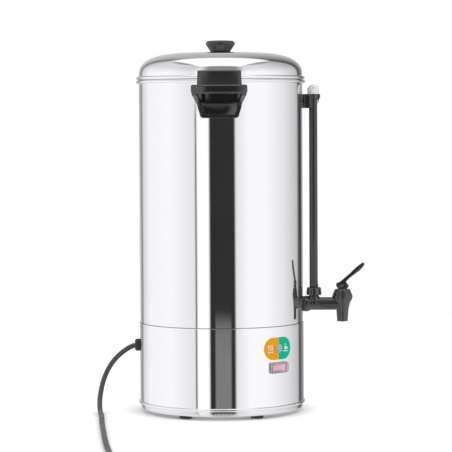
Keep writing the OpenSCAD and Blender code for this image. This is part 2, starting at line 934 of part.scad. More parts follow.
module tap_bonnet() {
    r = bonnet_d / 2;
    color([0.09, 0.09, 0.09])
        translate([tap_x, 0, 0])
            difference() {
                translate([0, 0, bonnet_z])
                    rotate_extrude()
                        polygon([
                            [0, 0], [r - 0.5, 0], [r, 1.2], [r, 2.4], [r - 1.3, 6],
                            [bonnet_top_d / 2, bonnet_h - 0.8],
                            [bonnet_top_d / 2 - 0.8, bonnet_h], [0, bonnet_h]
                        ]);
                translate([0, 0, bonnet_z - 1])
                    cylinder(d = neck_d + 2 * hole_gap, h = ceiling_z - bonnet_z + 1);
                translate([0, 0, bonnet_z])
                    cylinder(d = stem_d + 2 * run_gap, h = bonnet_h + 1);
                translate([0, 0, bonnet_top - 3.8])
                    rod_y(bonnet_mark_d, -bonnet_d, -bonnet_top_d / 2 + 1);
            }
}

cam_gap = 0.5;
pin_rise = 4.8;
pin_d = 2.4;
pin_z = bonnet_top + cam_gap + pin_rise;
stem_flat = 4.4;
stem_flat_len = 9.5;
cup_z = tap_z + seat_dz + rest_gap;
cup_h = 6.6;
stem_foot_d = 8;
stem_foot_h = 2;
stem_foot_z = cup_z + 2.2;

module tap_stem() {
    r = stem_d / 2;
    color([0.78, 0.78, 0.8])
        translate([tap_x, 0, 0])
            difference() {
                rotate_extrude()
                    polygon([
                        [0, stem_foot_z], [stem_foot_d / 2, stem_foot_z],
                        [stem_foot_d / 2, stem_foot_z + stem_foot_h],
                        [r, stem_foot_z + stem_foot_h], [r, pin_z + 1],
                        [0.45 * r, pin_z + r - 0.2], [0, pin_z + r - 0.2]
                    ]);
                for (side = [-1, 1])
                    translate([-stem_d, side > 0 ? stem_flat / 2 : -stem_flat / 2 - stem_d,
                               pin_z - stem_flat_len])
                        cube([2 * stem_d, stem_d, stem_flat_len + stem_d]);
                translate([0, 0, pin_z])
                    rod_y(pin_d + 2 * run_gap, -stem_d, stem_d);
            }
}

// The rubber cup that closes the outlet, moulded round the foot of the stem
module tap_seat_cup() {
    color([0.16, 0.16, 0.16])
        translate([tap_x, 0, 0])
            difference() {
                rotate_extrude()
                    polygon([
                        [0, cup_z], [cup_d / 2 - 0.5, cup_z], [cup_d / 2, cup_z + 0.8],
                        [cup_d / 2, cup_z + 3.4], [stem_d / 2 + 1.8, cup_z + cup_h],
                        [0, cup_z + cup_h]
                    ]);
                translate([0, 0, stem_foot_z])
                    cylinder(d = stem_foot_d + 2 * run_gap, h = stem_foot_h);
                translate([0, 0, stem_foot_z])
                    cylinder(d = stem_d + 2 * run_gap, h = cup_h);
            }
}

spring_r = stem_d / 2 + run_gap + spring_wire / 2 + 0.5;
spring_z0 = cup_z + cup_h + spring_wire / 2 + 0.1;
spring_z1 = ceiling_z - spring_wire / 2 - 0.1;
spring_turns = 4.5;
spring_ring_count = 64;
spring_sides = 8;

// A tube along the points of path. Its rings stand square to the path, and
// aside is any direction that the path never runs along.
module swept_tube(path, d, sides, aside) {
    last = len(path) - 1;
    rings = [
        for (i = [0:last])
            let (
                along = unit(path[min(i + 1, last)] - path[max(i - 1, 0)]),
                flat = unit(cross(along, aside)),
                up = cross(flat, along)
            )
                for (k = [0:sides - 1])
                    path[i] + d / 2 * (cos(360 * k / sides) * flat
                                       + sin(360 * k / sides) * up)
    ];
    sides_faces = [
        for (i = [0:last - 1], k = [0:sides - 1])
            let (next = (k + 1) % sides)
                [i * sides + k, i * sides + next, (i + 1) * sides + next,
                 (i + 1) * sides + k]
    ];
    first_cap = [[for (k = [sides - 1:-1:0]) k]];
    last_cap = [[for (k = [0:sides - 1]) last * sides + k]];
    polyhedron(rings, concat(sides_faces, first_cap, last_cap));
}

function unit(v) = v / norm(v);

module tap_spring() {
    color([0.78, 0.78, 0.8])
        translate([tap_x, 0, 0])
            swept_tube([
                for (i = [0:spring_ring_count])
                    let (t = i / spring_ring_count, a = 360 * spring_turns * t)
                        [spring_r * cos(a), spring_r * sin(a),
                         spring_z0 + t * (spring_z1 - spring_z0)]
            ], spring_wire, spring_sides, [0, 0, 1]);
}

lever_block_h = 8.6;
lever_block_w = 18.4;
lever_foot_w = 13.2;
lever_slit_w = 0.9;
lever_slit_depth = 0.8;

// The lever's side outline, from the pin: x towards the tap's front, y up
module lever_outline() {
    bottom = -pin_rise;
    top = bottom + lever_block_h;
    polygon([
        [-lever_foot_w / 2, bottom], [lever_foot_w / 2, bottom],
        [lever_block_w / 2 - 0.6, -2], [lever_block_w / 2, 0], [lever_block_w / 2 - 1.2, 2.4],
        [6.2, 3.6], [5.6, 5.4], [6.2, 7.2], [12, 12.4], [18, 16.8], [25, 21.8],
        [30, 27.2], [32.4, 30.8], [32.2, 32], [30.6, 33.8], [29.2, 33.2],
        [26.6, 31.2], [20.8, 26.9], [15, 21.4], [12, 18.3], [6, 13.2], [0, 8.1],
        [-4.6, 4.6], [-6, top + 0.4], [-8.4, top], [-lever_block_w / 2 - 0.1, 0],
        [-lever_block_w / 2 + 0.6, -1.4]
    ]);
}

module tap_lever() {
    color([0.09, 0.09, 0.09])
        translate([tap_x, 0, pin_z])
            difference() {
                rotate([90, 0, 0])
                    translate([0, 0, -lever_w / 2])
                        linear_extrude(lever_w)
                            lever_outline();
                translate([-stem_d / 2 - 1, -stem_flat / 2 - 0.25, -pin_rise - 1])
                    cube([lever_block_w, stem_flat + 0.5, pin_rise + 1 + stem_d / 2 + 0.5]);
                rod_y(pin_d + 2 * run_gap, -lever_w, lever_w);
                for (side = [-1, 1])
                    translate([-1.2, side * lever_w / 2, -pin_rise / 2])
                        cube([lever_slit_w, 2 * lever_slit_depth, pin_rise + 4],
                             center = true);
            }
}

module tap_lever_pin() {
    color([0.78, 0.78, 0.8])
        translate([tap_x, 0, pin_z])
            rod_y(pin_d, -lever_w / 2 + 0.4, lever_w / 2 - 0.4);
}

// ------------------------------------------------------------------ gauge

nut_z = tap_z + 13;
gauge_nut_h = 11;
nut_ceiling = seal_z + seal_h + 0.1;
guard_z = nut_ceiling + 1.4;
guard_slot = 6;
collar_gap = 0.15;
collar_wall = 1.9;
collar_h = 6.5;
bracket_w = 10;
bracket_foot_w = 15;
bracket_foot_t = 2.6;

module gauge_glass() {
    color([0.8, 0.88, 0.9, 0.4])
        translate([gauge_x, 0, 0])
            ring_z(glass_d / 2 - glass_wall, glass_d / 2, glass_z, glass_top);
}

module gauge_guard() {
    color([0.07, 0.07, 0.07])
        translate([gauge_x, 0, 0])
            difference() {
                ring_z(guard_d / 2 - guard_wall, guard_d / 2, guard_z, bracket_z);
                translate([0, -guard_slot / 2, guard_z + 8])
                    cube([guard_d, guard_slot, bracket_z - guard_z - 8 - collar_h - 2]);
            }
}

module gauge_nut() {
    r = gauge_nut_d / 2;
    color([0.09, 0.09, 0.09])
        translate([gauge_x, 0, 0])
            difference() {
                rotate_extrude()
                    polygon([
                        [0, nut_z], [r - 0.6, nut_z], [r, nut_z + 0.8],
                        [r - 0.9, nut_z + gauge_nut_h - 1],
                        [r - 1.7, nut_z + gauge_nut_h], [0, nut_z + gauge_nut_h]
                    ]);
                translate([0, 0, nut_z - 1])
                    cylinder(d = boss_d + 2 * hole_gap, h = nut_ceiling - nut_z + 1);
                translate([0, 0, nut_z])
                    cylinder(d = glass_d + 2 * hole_gap, h = 20);
                translate([0, 0, guard_z - 0.1])
                    cylinder(d = guard_d + 2 * hole_gap, h = 20);
            }
}

module gauge_seal() {
    color([0.16, 0.16, 0.16])
        translate([gauge_x, 0, 0])
            ring_z(glass_d / 2 + 0.05, seal_d / 2, seal_z, seal_z + seal_h);
}

// The clip that ties the top of the gauge to the tank wall
module gauge_bracket() {
    clip_r = guard_d / 2 + collar_gap + collar_wall;
    clip_low = bracket_z - bracket_h;
    color([0.09, 0.09, 0.09])
        difference() {
            union() {
                translate([seat_r - 4, -bracket_w / 2, clip_low])
                    cube([gauge_x - seat_r + 2, bracket_w, bracket_h]);
                translate([seat_r - 4, -bracket_foot_w / 2, clip_low])
                    cube([bracket_foot_t + 4, bracket_foot_w, bracket_h]);
                translate([gauge_x, 0, 0]) {
                    intersection() {
                        translate([0, 0, clip_low])
                            cylinder(r = clip_r, h = bracket_h);
                        translate([-2 * clip_r - 1, -clip_r, clip_low])
                            cube([2 * clip_r, 2 * clip_r, bracket_h]);
                    }
                    translate([0, 0, bracket_z - collar_h])
                        cylinder(r = clip_r - 0.4, h = collar_h);
                    translate([0, -bracket_w / 2, bracket_z - collar_h])
                        cube([9.8, bracket_w, collar_h]);
                    translate([0, 1.5, bracket_z - collar_h])
                        rotate([90, 0, 0])
                            linear_extrude(3)
                                polygon([[0, 0], [clip_r + 0.4, 0], [guard_d / 2 + 0.4, -7.5],
                                         [0, -7.5]]);
                }
            }
            ring_z(0, seat_r - 0.1, clip_low - 1, bracket_z + 1);
            translate([gauge_x, 0, clip_low - 1])
                cylinder(d = guard_d + 2 * collar_gap, h = bracket_h + 2);
            translate([0, 0, bracket_screw_z])
                rod_x(m4_d + 2 * run_gap, tank_r - 5, bracket_screw_tip + 0.3);
        }
}

bracket_screw_tip = tank_r + 7;

module gauge_bracket_screw() {
    head_x = tank_in_r - 0.3;
    color([0.75, 0.75, 0.77])
        translate([head_x, 0, bracket_screw_z])
            rotate([0, 90, 0])
                pan_screw(m4_d, bracket_screw_tip - head_x);
}

cap_z = bracket_z + rest_gap;
cap_vent_d = 1.8;

module gauge_cap() {
    dome_r = 1.1 * cap_d / 2;
    vent_z = cap_z + 0.64 * cap_h;
    color([0.9, 0.9, 0.88])
        translate([gauge_x, 0, 0])
            difference() {
                rotate_extrude()
                    intersection() {
                        translate([0, cap_z])
                            square([cap_d / 2, cap_h]);
                        translate([0, cap_z + cap_h - dome_r])
                            circle(r = dome_r);
                    }
                translate([0, 0, cap_z - 1])
                    cylinder(d = glass_d + 2 * hole_gap, h = glass_top - cap_z + 1 + rest_gap);
                translate([0, 0, cap_z])
                    cylinder(d = 3, h = vent_z - cap_z + cap_vent_d / 2);
                translate([0, 0, vent_z])
                    rod_y(cap_vent_d, -cap_d, 0);
            }
}

// ------------------------------------------------------------------ panel

plate_sheet = 0.4;
panel_r = skirt_r + 0.1;
lens_x = panel_r + 0.05;
lens_t = 2.6;
lamp_len = 24;
lamp_nut_d = 15;
lamp_nut_t = 3;

// Places what is drawn facing +X at the panel's angle and at the height z
module at_panel(z) {
    rotate([0, 0, -panel_angle])
        translate([0, 0, z])
            children();
}

module indicator_plate() {
    color([0.85, 0.6, 0.15])
        at_panel(lamp_z)
            intersection() {
                ring_z(panel_r, panel_r + plate_sheet, -plate_h, plate_h);
                face_x(panel_r - 10, panel_r + 5)
                    difference() {
                        round_rect(plate_w, plate_h, plate_h / 2 - eps);
                        circle(d = lens_d + 2 * hole_gap);
                    }
            }
}

module lamp_lens() {
    r = lens_d / 2;
    color([0.9, 0.85, 0.86])
        at_panel(lamp_z)
            translate([lens_x, 0, 0])
                rotate([0, 90, 0])
                    rotate_extrude()
                        polygon([[0, 0], [r, 0], [r, 1.1], [r - 1, 1.5], [r - 1.2, 2.1],
                                 [r - 3, lens_t], [0, lens_t + 0.1]]);
}

module lamp_body() {
    color([0.12, 0.12, 0.12])
        at_panel(lamp_z) {
            rod_x(lamp_thread_d, lens_x - lamp_len + 6, lens_x);
            rod_x(lamp_thread_d - 2, lens_x - lamp_len, lens_x - lamp_len + 6);
        }
}

module lamp_nut() {
    inner_x = skirt_in_r - 0.3;
    color([0.12, 0.12, 0.12])
        at_panel(lamp_z)
            difference() {
                rod_x(lamp_nut_d, inner_x - lamp_nut_t, inner_x);
                rod_x(lamp_thread_d + 2 * run_gap, inner_x - 10, inner_x + 5);
            }
}

bezel_t = 2;
bezel_front = panel_r + bezel_t;
well_w = 26.4;
well_h = 10.2;
switch_len = 24;
rocker_w = 23.6;
pivot_d = 3;
pivot_x = bezel_front - 7.9;
well_x = pivot_x - 5;

module switch_body() {
    color([0.25, 0.26, 0.27])
        at_panel(switch_z)
            difference() {
                union() {
                    difference() {
                        face_x(panel_r - 3, bezel_front)
                            round_rect(bezel_w, bezel_h, 2);
                        ring_z(0, panel_r, -bezel_h, bezel_h);
                    }
                    face_x(bezel_front - switch_len, bezel_front - 1)
                        square([switch_body_w, switch_body_h], center = true);
                    for (y = [-8, 0, 8])
                        face_x(bezel_front - switch_len - 7, bezel_front - switch_len + 1)
                            translate([y, 0])
                                square([0.8, 6.3], center = true);
                }
                face_x(well_x, bezel_front + 1)
                    square([well_w, well_h], center = true);
                translate([pivot_x, 0, -switch_body_h / 2 + 0.4])
                    cylinder(d = pivot_d + 2 * run_gap, h = switch_body_h - 0.8);
            }
}

// The rocker is drawn level and stands tipped to its off side
module switch_rocker() {
    color([0.8, 0.15, 0.15])
        at_panel(switch_z)
            translate([pivot_x, 0, 0])
                rotate([0, 0, -rocker_travel / 2])
                    union() {
                        translate([0, 0, -well_h / 2 + rest_gap])
                            linear_extrude(well_h - 2 * rest_gap) {
                                polygon([
                                    [3.2, -rocker_w / 2], [7.4, -rocker_w / 2], [5.6, 0],
                                    [7.4, rocker_w / 2], [3.2, rocker_w / 2]
                                ]);
                                translate([0, -2.4])
                                    square([4, 4.8]);
                                circle(d = 4.8);
                            }
                        translate([0, 0, -switch_body_h / 2 + 0.6])
                            cylinder(d = pivot_d, h = switch_body_h - 1.2);
                    }
}

boot_wall = 0.8;
boot_h = 3.6;

module switch_boot() {
    color([0.85, 0.85, 0.88, 0.4])
        at_panel(switch_z)
            difference() {
                union() {
                    face_x(bezel_front, bezel_front + boot_wall)
                        round_rect(bezel_w - 2, bezel_h - 1.4, 2);
                    face_x(bezel_front, bezel_front + boot_h)
                        round_rect(well_w + 3, well_h + 2.6, 3);
                }
                face_x(bezel_front - 1, bezel_front + boot_h - boot_wall)
                    round_rect(well_w + 3 - 2 * boot_wall, well_h + 2.6 - 2 * boot_wall,
                               3 - boot_wall);
            }
}

// ----------------------------------------------------------------- heater

plate_z = floor_z - plate_t;
element_z = plate_z - element_d / 2 - 0.1;
element_gap_angle = 40;
element_tail = 24;
cold_pin_d = 2.5;
cold_pin_len = 8;
clamp_w = 14;
clamp_t = 2;
clamp_d = element_ring_d + 16;
clamp_z = element_z - element_d / 2 - 0.1 - clamp_t;
thermostat_pos = [27, 0];
thermostat_d = 17;
cutout_d = 19;
sensor_h = 12;
button_d = 5;
button_h = 6;
button_travel = 1.5;

module heat_plate() {
    color([0.78, 0.79, 0.8])
        difference() {
            translate([0, 0, plate_z])
                cylinder(d = plate_d, h = plate_t);
            translate([0, 0, plate_z - 1])
                cylinder(d = stud_d + 2 * hole_gap, h = plate_t + 2);
        }
}

// A round sheath bent to a ring, with its two cold ends turned down
module heating_element() {
    start = element_gap_angle / 2;
    color([0.35, 0.34, 0.33])
        translate([0, 0, element_z]) {
            rotate([0, 0, 180 + start])
                rotate_extrude(angle = 360 - element_gap_angle)
                    translate([element_ring_d / 2, 0])
                        circle(d = element_d);
            for (a = [180 - start, 180 + start])
                rotate([0, 0, a])
                    translate([element_ring_d / 2, 0, 0]) {
                        sphere(d = element_d);
                        translate([0, 0, -element_tail])
                            cylinder(d = element_d, h = element_tail);
                        translate([0, 0, -element_tail - cold_pin_len])
                            cylinder(d = cold_pin_d, h = cold_pin_len + 1);
                    }
        }
}

module element_clamp() {
    color([0.75, 0.75, 0.77])
        translate([0, 0, clamp_z])
            difference() {
                intersection() {
                    translate([-clamp_w / 2, -clamp_d / 2, 0])
                        cube([clamp_w, clamp_d, clamp_t]);
                    cylinder(d = clamp_d, h = clamp_t);
                }
                translate([0, 0, -1])
                    cylinder(d = stud_d + 2 * hole_gap, h = clamp_t + 2);
            }
}

module element_nut() {
    color([0.75, 0.75, 0.77])
        translate([0, 0, clamp_z - nut_h_ratio * stud_d])
            hex_nut(stud_d);
}

// A sensor body that is pressed flat against the heat plate, with two tabs below
module sensor(p, d) {
    translate([p[0], p[1], plate_z - sensor_h]) {
        cylinder(d = d, h = sensor_h);
        for (x = [-1, 1])
            translate([x * (d / 2 - 2.2), 0, -6])
                translate([-0.4, -3.15, 0])
                    cube([0.8, 6.3, 7]);
    }
}

module thermostat() {
    color([0.3, 0.22, 0.16])
        sensor(thermostat_pos, thermostat_d);
}

module thermal_cutout() {
    color([0.85, 0.83, 0.78])
        difference() {
            sensor(cutout_pos, cutout_d);
            translate([cutout_pos[0], cutout_pos[1], plate_z - sensor_h - 1])
                cylinder(d = button_d + 2 * run_gap,
                         h = button_h - 2.5 + button_travel + rest_gap + 1);
        }
}

module reset_button() {
    color([0.75, 0.1, 0.1])
        translate([cutout_pos[0], cutout_pos[1], plate_z - sensor_h - 2.5])
            cylinder(d = button_d, h = button_h);
}

terminal_w = 30;
terminal_t = 17;
terminal_h = 15;
terminal_pitch = 9.5;
terminal_screw_d = 4.5;
terminal_screw_depth = 5;
terminal_wire_d = 3.6;
terminal_wire_z = 8;

module terminal_block() {
    color([0.88, 0.88, 0.84])
        translate([terminal_pos[0], terminal_pos[1], skirt_z])
            difference() {
                translate([-terminal_t / 2, -terminal_w / 2, 0])
                    cube([terminal_t, terminal_w, terminal_h]);
                for (row = [-1, 0, 1])
                    translate([0, row * terminal_pitch, 0]) {
                        translate([0, 0, terminal_h - terminal_screw_depth])
                            cylinder(d = terminal_screw_d, h = terminal_screw_depth + 1);
                        translate([0, 0, terminal_wire_z])
                            rod_x(terminal_wire_d, -terminal_t, terminal_t);
                    }
            }
}

// ------------------------------------------------------- mains lead, plug

gland_face = panel_r + gland_out;
gland_nut_d = 21;
gland_nut_t = 4;

// The lead's route from the gland to its coil
cord_route = [
    [-gland_face, 0, 96.1], [-134.5, 0, 93.4], [-141.5, -1, 89.2], [-149, -2, 83.6],
    [-156, -3, 77], [-162, -4, 69.5], [-167.5, -5, 60.5], [-172, -7, 50.5],
    [-175.5, -10, 39.5], [-177.5, -15, 29], [-178.5, -23, 19], [-178, -34, 11.2],
    [-176.5, -48, 6], [-174.5, -64, 4], [-172, -84, 3.8], [-170, -110, 3.8],
    [-167.5, -145, 3.8], [-164.5, -180, 3.8], [-161.5, -215, 3.8],
    [-158, -250, 3.8], [-155, -285, 3.8], [-151.5, -320, 3.8], [-148, -355, 3.8],
    [-144, -390, 3.8], [-139.5, -425, 3.8], [-135.5, -460, 3.8], [-132, -495, 3.8],
    [-129, -530, 3.8], [-127, -565, 3.8], [-126, -590, 3.8], [-126, -612, 3.8]
];
cord_sides = 8;
coil_centre = [-82, -612];
coil_r = 44;
coil_row = 2;
coil_layers = 2;

module cord_gland() {
    nose_r = gland_d / 2;
    color([0.1, 0.1, 0.1])
        translate([0, 0, gland_z])
            mirror([1, 0, 0])
                difference() {
                    union() {
                        translate([panel_r - 4, 0, 0])
                            rotate([0, 90, 0])
                                rotate_extrude()
                                    polygon([
                                        [0, 0], [nose_r, 0], [nose_r, gland_out + 2.2],
                                        [nose_r - 1.8, gland_out + 4], [0, gland_out + 4]
                                    ]);
                    }
                    difference() {
                        ring_z(0, panel_r, -gland_d, gland_d);
                        rod_x(gland_thread_d, 0, panel_r + 1);
                    }
                }
}

module gland_nut() {
    inner_x = skirt_in_r - 0.4;
    color([0.1, 0.1, 0.1])
        translate([0, 0, gland_z])
            mirror([1, 0, 0])
                translate([inner_x - gland_nut_t, 0, 0])
                    rotate([0, 90, 0])
                        difference() {
                            cylinder(d = gland_nut_d, h = gland_nut_t, $fn = 6);
                            translate([0, 0, -1])
                                cylinder(d = gland_thread_d + 2 * run_gap, h = gland_nut_t + 2);
                        }
}

module power_cord() {
    color([0.2, 0.2, 0.2])
        swept_tube(cord_route, cord_d, cord_sides, [1, -1, 1]);
}

module cord_coil() {
    color([0.2, 0.2, 0.2])
        translate([coil_centre[0], coil_centre[1], 0])
            ring_z(coil_r - cord_d * (coil_row - 0.5), coil_r + cord_d / 2,
                   0.1, 0.1 + cord_d * coil_layers);
}

plug_centre = [10, -672];
plug_d = 37;
plug_len = 40;
plug_pin_d = 4.8;
plug_pin_span = 19;
plug_pin_len = 19;
plug_axis_z = plug_d / 2 + 0.1;
lead_route = [
    [-82, -656, 11.2], [-70, -657.5, 10.6], [-58, -661, 11], [-47, -665.5, 13],
    [-37, -669.5, 16], [-28, -671.5, 18.2], [-18, -672, 18.6]
];

module plug_lead() {
    color([0.2, 0.2, 0.2])
        swept_tube(lead_route, cord_d, cord_sides, [0, 0, 1]);
}

plug_front = plug_len - 12;
plug_slot_w = 6;
plug_slot_depth = 2.6;
plug_slot_len = 14;
plug_rib_pitch = 4.4;

// The plug's neck has ribs that bend with the lead, and its sides have the earth slots
module plug_body() {
    slot_z = plug_d / 2 - plug_slot_depth;
    color([0.12, 0.12, 0.12])
        translate([plug_centre[0], plug_centre[1], plug_axis_z])
            difference() {
                rotate([0, 90, 0])
                    rotate_extrude()
                        polygon(concat(
                            [[0, plug_front], [0, -28]],
                            [
                                for (i = [0:3])
                                    let (z = -28 + i * plug_rib_pitch, r = cord_d / 2 + 1 + 0.5 * i)
                                        each [[r + 1, z], [r + 1, z + 2.6], [r, z + 2.6],
                                              [r, z + plug_rib_pitch]]
                            ],
                            [[cord_d / 2 + 3.4, -8], [12, -4], [15, 6], [plug_d / 2 - 1, 9],
                             [plug_d / 2, 10], [plug_d / 2, plug_front - 1],
                             [plug_d / 2 - 1, plug_front]]
                        ));
                for (side = [-1, 1])
                    translate([plug_front - plug_slot_len / 2 + 1,
                               0, side * (slot_z + plug_slot_depth)])
                        cube([plug_slot_len, plug_slot_w, 2 * plug_slot_depth], center = true);
            }
}

module plug_pins() {
    pin_r = plug_pin_d / 2;
    color([0.8, 0.8, 0.78])
        translate([plug_centre[0] + plug_front, plug_centre[1], plug_axis_z])
            for (side = [-1, 1])
                translate([0, side * plug_pin_span / 2, 0])
                    rotate([0, 90, 0])
                        rotate_extrude()
                            polygon([
                                [0, 0], [pin_r, 0], [pin_r, plug_pin_len - pin_r],
                                [pin_r / 2, plug_pin_len - 0.3], [0, plug_pin_len]
                            ]);
}

tank();
base_skirt();
bottom_pan();
foot_1();
foot_2();
foot_3();
foot_4();
foot_screws();
foot_nuts();
pan_screws();
lid_shell();
lid_knob();
lid_knob_washer();
lid_knob_screw();
handle_near();
handle_far();
handle_screws();
handle_washers();
tap_body();
tap_wall_washer();
tap_inner_washer();
tap_lock_nut();
tap_bonnet();
tap_stem();
tap_seat_cup();
tap_spring();
tap_lever();
tap_lever_pin();
gauge_glass();
gauge_guard();
gauge_nut();
gauge_seal();
gauge_bracket();
gauge_bracket_screw();
gauge_cap();
indicator_plate();
lamp_lens();
lamp_body();
lamp_nut();
switch_body();
switch_rocker();
switch_boot();
heat_plate();
heating_element();
element_clamp();
element_nut();
thermostat();
thermal_cutout();
reset_button();
terminal_block();
cord_gland();
gland_nut();
power_cord();
cord_coil();
plug_lead();
plug_body();
plug_pins();
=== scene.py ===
"""Hot water urn: the finish of its steel, mouldings, printed plate, switch and mains lead."""
import math

import bmesh
import bpy
from mathutils import Matrix, Vector


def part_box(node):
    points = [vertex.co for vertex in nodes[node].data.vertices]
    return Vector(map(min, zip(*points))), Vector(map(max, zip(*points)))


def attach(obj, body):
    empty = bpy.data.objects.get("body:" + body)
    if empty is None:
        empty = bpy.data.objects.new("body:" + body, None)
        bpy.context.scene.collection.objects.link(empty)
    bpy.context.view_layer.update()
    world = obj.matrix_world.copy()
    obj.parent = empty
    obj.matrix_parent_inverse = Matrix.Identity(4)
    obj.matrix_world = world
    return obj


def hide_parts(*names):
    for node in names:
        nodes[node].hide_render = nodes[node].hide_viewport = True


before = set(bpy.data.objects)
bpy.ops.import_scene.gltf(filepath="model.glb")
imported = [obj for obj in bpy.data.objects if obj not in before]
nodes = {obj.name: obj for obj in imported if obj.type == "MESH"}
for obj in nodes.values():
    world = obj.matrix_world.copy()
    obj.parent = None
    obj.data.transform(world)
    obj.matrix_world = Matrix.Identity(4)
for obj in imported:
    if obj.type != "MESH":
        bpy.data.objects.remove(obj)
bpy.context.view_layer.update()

MM = 0.001

# ------------------------------------------------------------------ camera

CAMERA_AT = Vector((0.007, -3.221, 0.4332))
CAMERA_PITCH = math.radians(2.888)
CAMERA_ROLL = math.radians(0.30)
# Turn of the view about the urn's axis, towards the tap
CAMERA_TURN = math.radians(0.6)
CAMERA_LENS = 175.22


def make_camera():
    data = bpy.data.cameras.new("camera")
    data.lens = CAMERA_LENS
    data.sensor_width = 36.0
    data.clip_end = 20.0
    camera = bpy.data.objects.new("camera", data)
    bpy.context.scene.collection.objects.link(camera)
    level = Matrix.Rotation(math.pi / 2 - CAMERA_PITCH, 4, "X")
    roll = Matrix.Rotation(-CAMERA_ROLL, 4, "Z")
    turn = Matrix.Rotation(CAMERA_TURN, 4, "Z")
    camera.matrix_world = turn @ Matrix.Translation(CAMERA_AT) @ level @ roll
    bpy.context.scene.camera = camera


make_camera()

# -------------------------------------------------------------- mains lead

CORD_D = 7.4 * MM
# The lead from its gland to the coil, in millimetres
LEAD_ROUTE = [
    (-127.6, 0, 96.1), (-134.5, 0, 93.4), (-141.5, -1, 89.2), (-149, -2, 83.6),
    (-156, -3, 77), (-162, -4, 69.5), (-167.5, -5, 60.5), (-172, -7, 50.5),
    (-175.5, -10, 39.5), (-177.5, -15, 29), (-178.5, -23, 19), (-178, -34, 11.2),
    (-176.5, -48, 6), (-174.5, -64, 4), (-172, -84, 3.8), (-170, -110, 3.8),
    (-167.5, -145, 3.8), (-164.5, -180, 3.8), (-161.5, -215, 3.8),
    (-158, -250, 3.8), (-155, -285, 3.8), (-151.5, -320, 3.8), (-148, -355, 3.8),
    (-144, -390, 3.8), (-139.5, -425, 3.8), (-135.5, -460, 3.8), (-132, -495, 3.8),
    (-129, -530, 3.8), (-127, -565, 3.8), (-126, -590, 3.8), (-126, -612, 3.8),
]
# The lead from the top of the coil to the plug, in millimetres
PLUG_ROUTE = [
    (-82, -656, 11.2), (-70, -657.5, 10.6), (-58, -661, 11), (-47, -665.5, 13),
    (-37, -669.5, 16), (-28, -671.5, 18.2), (-18, -672, 18.6),
]
COIL_CENTRE = (-82, -612)
COIL_OUTER = 44.0
COIL_INNER = 36.6
COIL_LOW = 3.8
COIL_HIGH = 11.2
# Where the coil changes row or layer, as degrees turned from the point where the lead meets it
COIL_INWARD = (290, 360)
COIL_UPWARD = (580, 650)
COIL_OUTWARD = (870, 940)
COIL_END = 1170
COIL_STEP = 15
ROUTE_STEPS = 5
TUBE_SIDES = 18


def smooth_step(value, start, end):
    share = min(1.0, max(0.0, (value - start) / (end - start)))
    return share * share * (3 - 2 * share)


def coil_route():
    """The turns of the coil: two rows side by side, in two layers."""
    points = []
    for turned in range(COIL_STEP, COIL_END, COIL_STEP):
        inward = smooth_step(turned, *COIL_INWARD) - smooth_step(turned, *COIL_OUTWARD)
        radius = COIL_OUTER + (COIL_INNER - COIL_OUTER) * inward
        height = COIL_LOW + (COIL_HIGH - COIL_LOW) * smooth_step(turned, *COIL_UPWARD)
        angle = math.radians(180 + turned)
        points.append((
            COIL_CENTRE[0] + radius * math.cos(angle),
            COIL_CENTRE[1] + radius * math.sin(angle),
            height,
        ))
    return points


def fine_route(knots):
    """A smooth line through the knots, as close points."""
    ends = [2 * knots[0] - knots[1]] + knots + [2 * knots[-1] - knots[-2]]
    points = []
    for before, start, end, after in zip(ends, ends[1:], ends[2:], ends[3:]):
        for i in range(ROUTE_STEPS):
            t = i / ROUTE_STEPS
            bend = 2 * before - 5 * start + 4 * end - after
            twist = 3 * start - before - 3 * end + after
            points.append(start + ((end - before) * t + bend * t * t + twist * t ** 3) / 2)
    return points + [knots[-1]]


def tube(path, radius):
    """A round tube along a path, closed at both ends."""
    bm = bmesh.new()
    rings = []
    side = Vector((0, 1, 0))
    for i, point in enumerate(path):
        ahead = (path[min(i + 1, len(path) - 1)] - path[max(i - 1, 0)]).normalized()
        side = (side - side.dot(ahead) * ahead).normalized()
        across = ahead.cross(side)
        angles = [math.tau * k / TUBE_SIDES for k in range(TUBE_SIDES)]
        rings.append([
            bm.verts.new(point + radius * (math.cos(a) * side + math.sin(a) * across))
            for a in angles
        ])
    for near, far in zip(rings, rings[1:]):
        for k in range(TUBE_SIDES):
            nearby = (k + 1) % TUBE_SIDES
            bm.faces.new((near[k], near[nearby], far[nearby], far[k]))
    bm.faces.new(rings[0][::-1])
    bm.faces.new(rings[-1])
    bmesh.ops.recalc_face_normals(bm, faces=bm.faces)
    return bm


def make_lead():
    path = fine_route([Vector(p) * MM for p in LEAD_ROUTE + coil_route() + PLUG_ROUTE])
    mesh = bpy.data.meshes.new("mains_lead")
    bm = tube(path, CORD_D / 2)
    bm.to_mesh(mesh)
    bm.free()
    for face in mesh.polygons:
        face.use_smooth = True
    mesh.set_sharp_from_angle(angle=math.radians(50))
    lead = bpy.data.objects.new("mains_lead", mesh)
    bpy.context.scene.collection.objects.link(lead)
    lead.visible_glossy = False
    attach(lead, "urn")
    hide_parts("power_cord", "cord_coil", "plug_lead")
    return lead


lead = make_lead()
for name in ("plug_body", "plug_pins"):
    nodes[name].visible_glossy = False

# ------------------------------------------------------------- node graphs


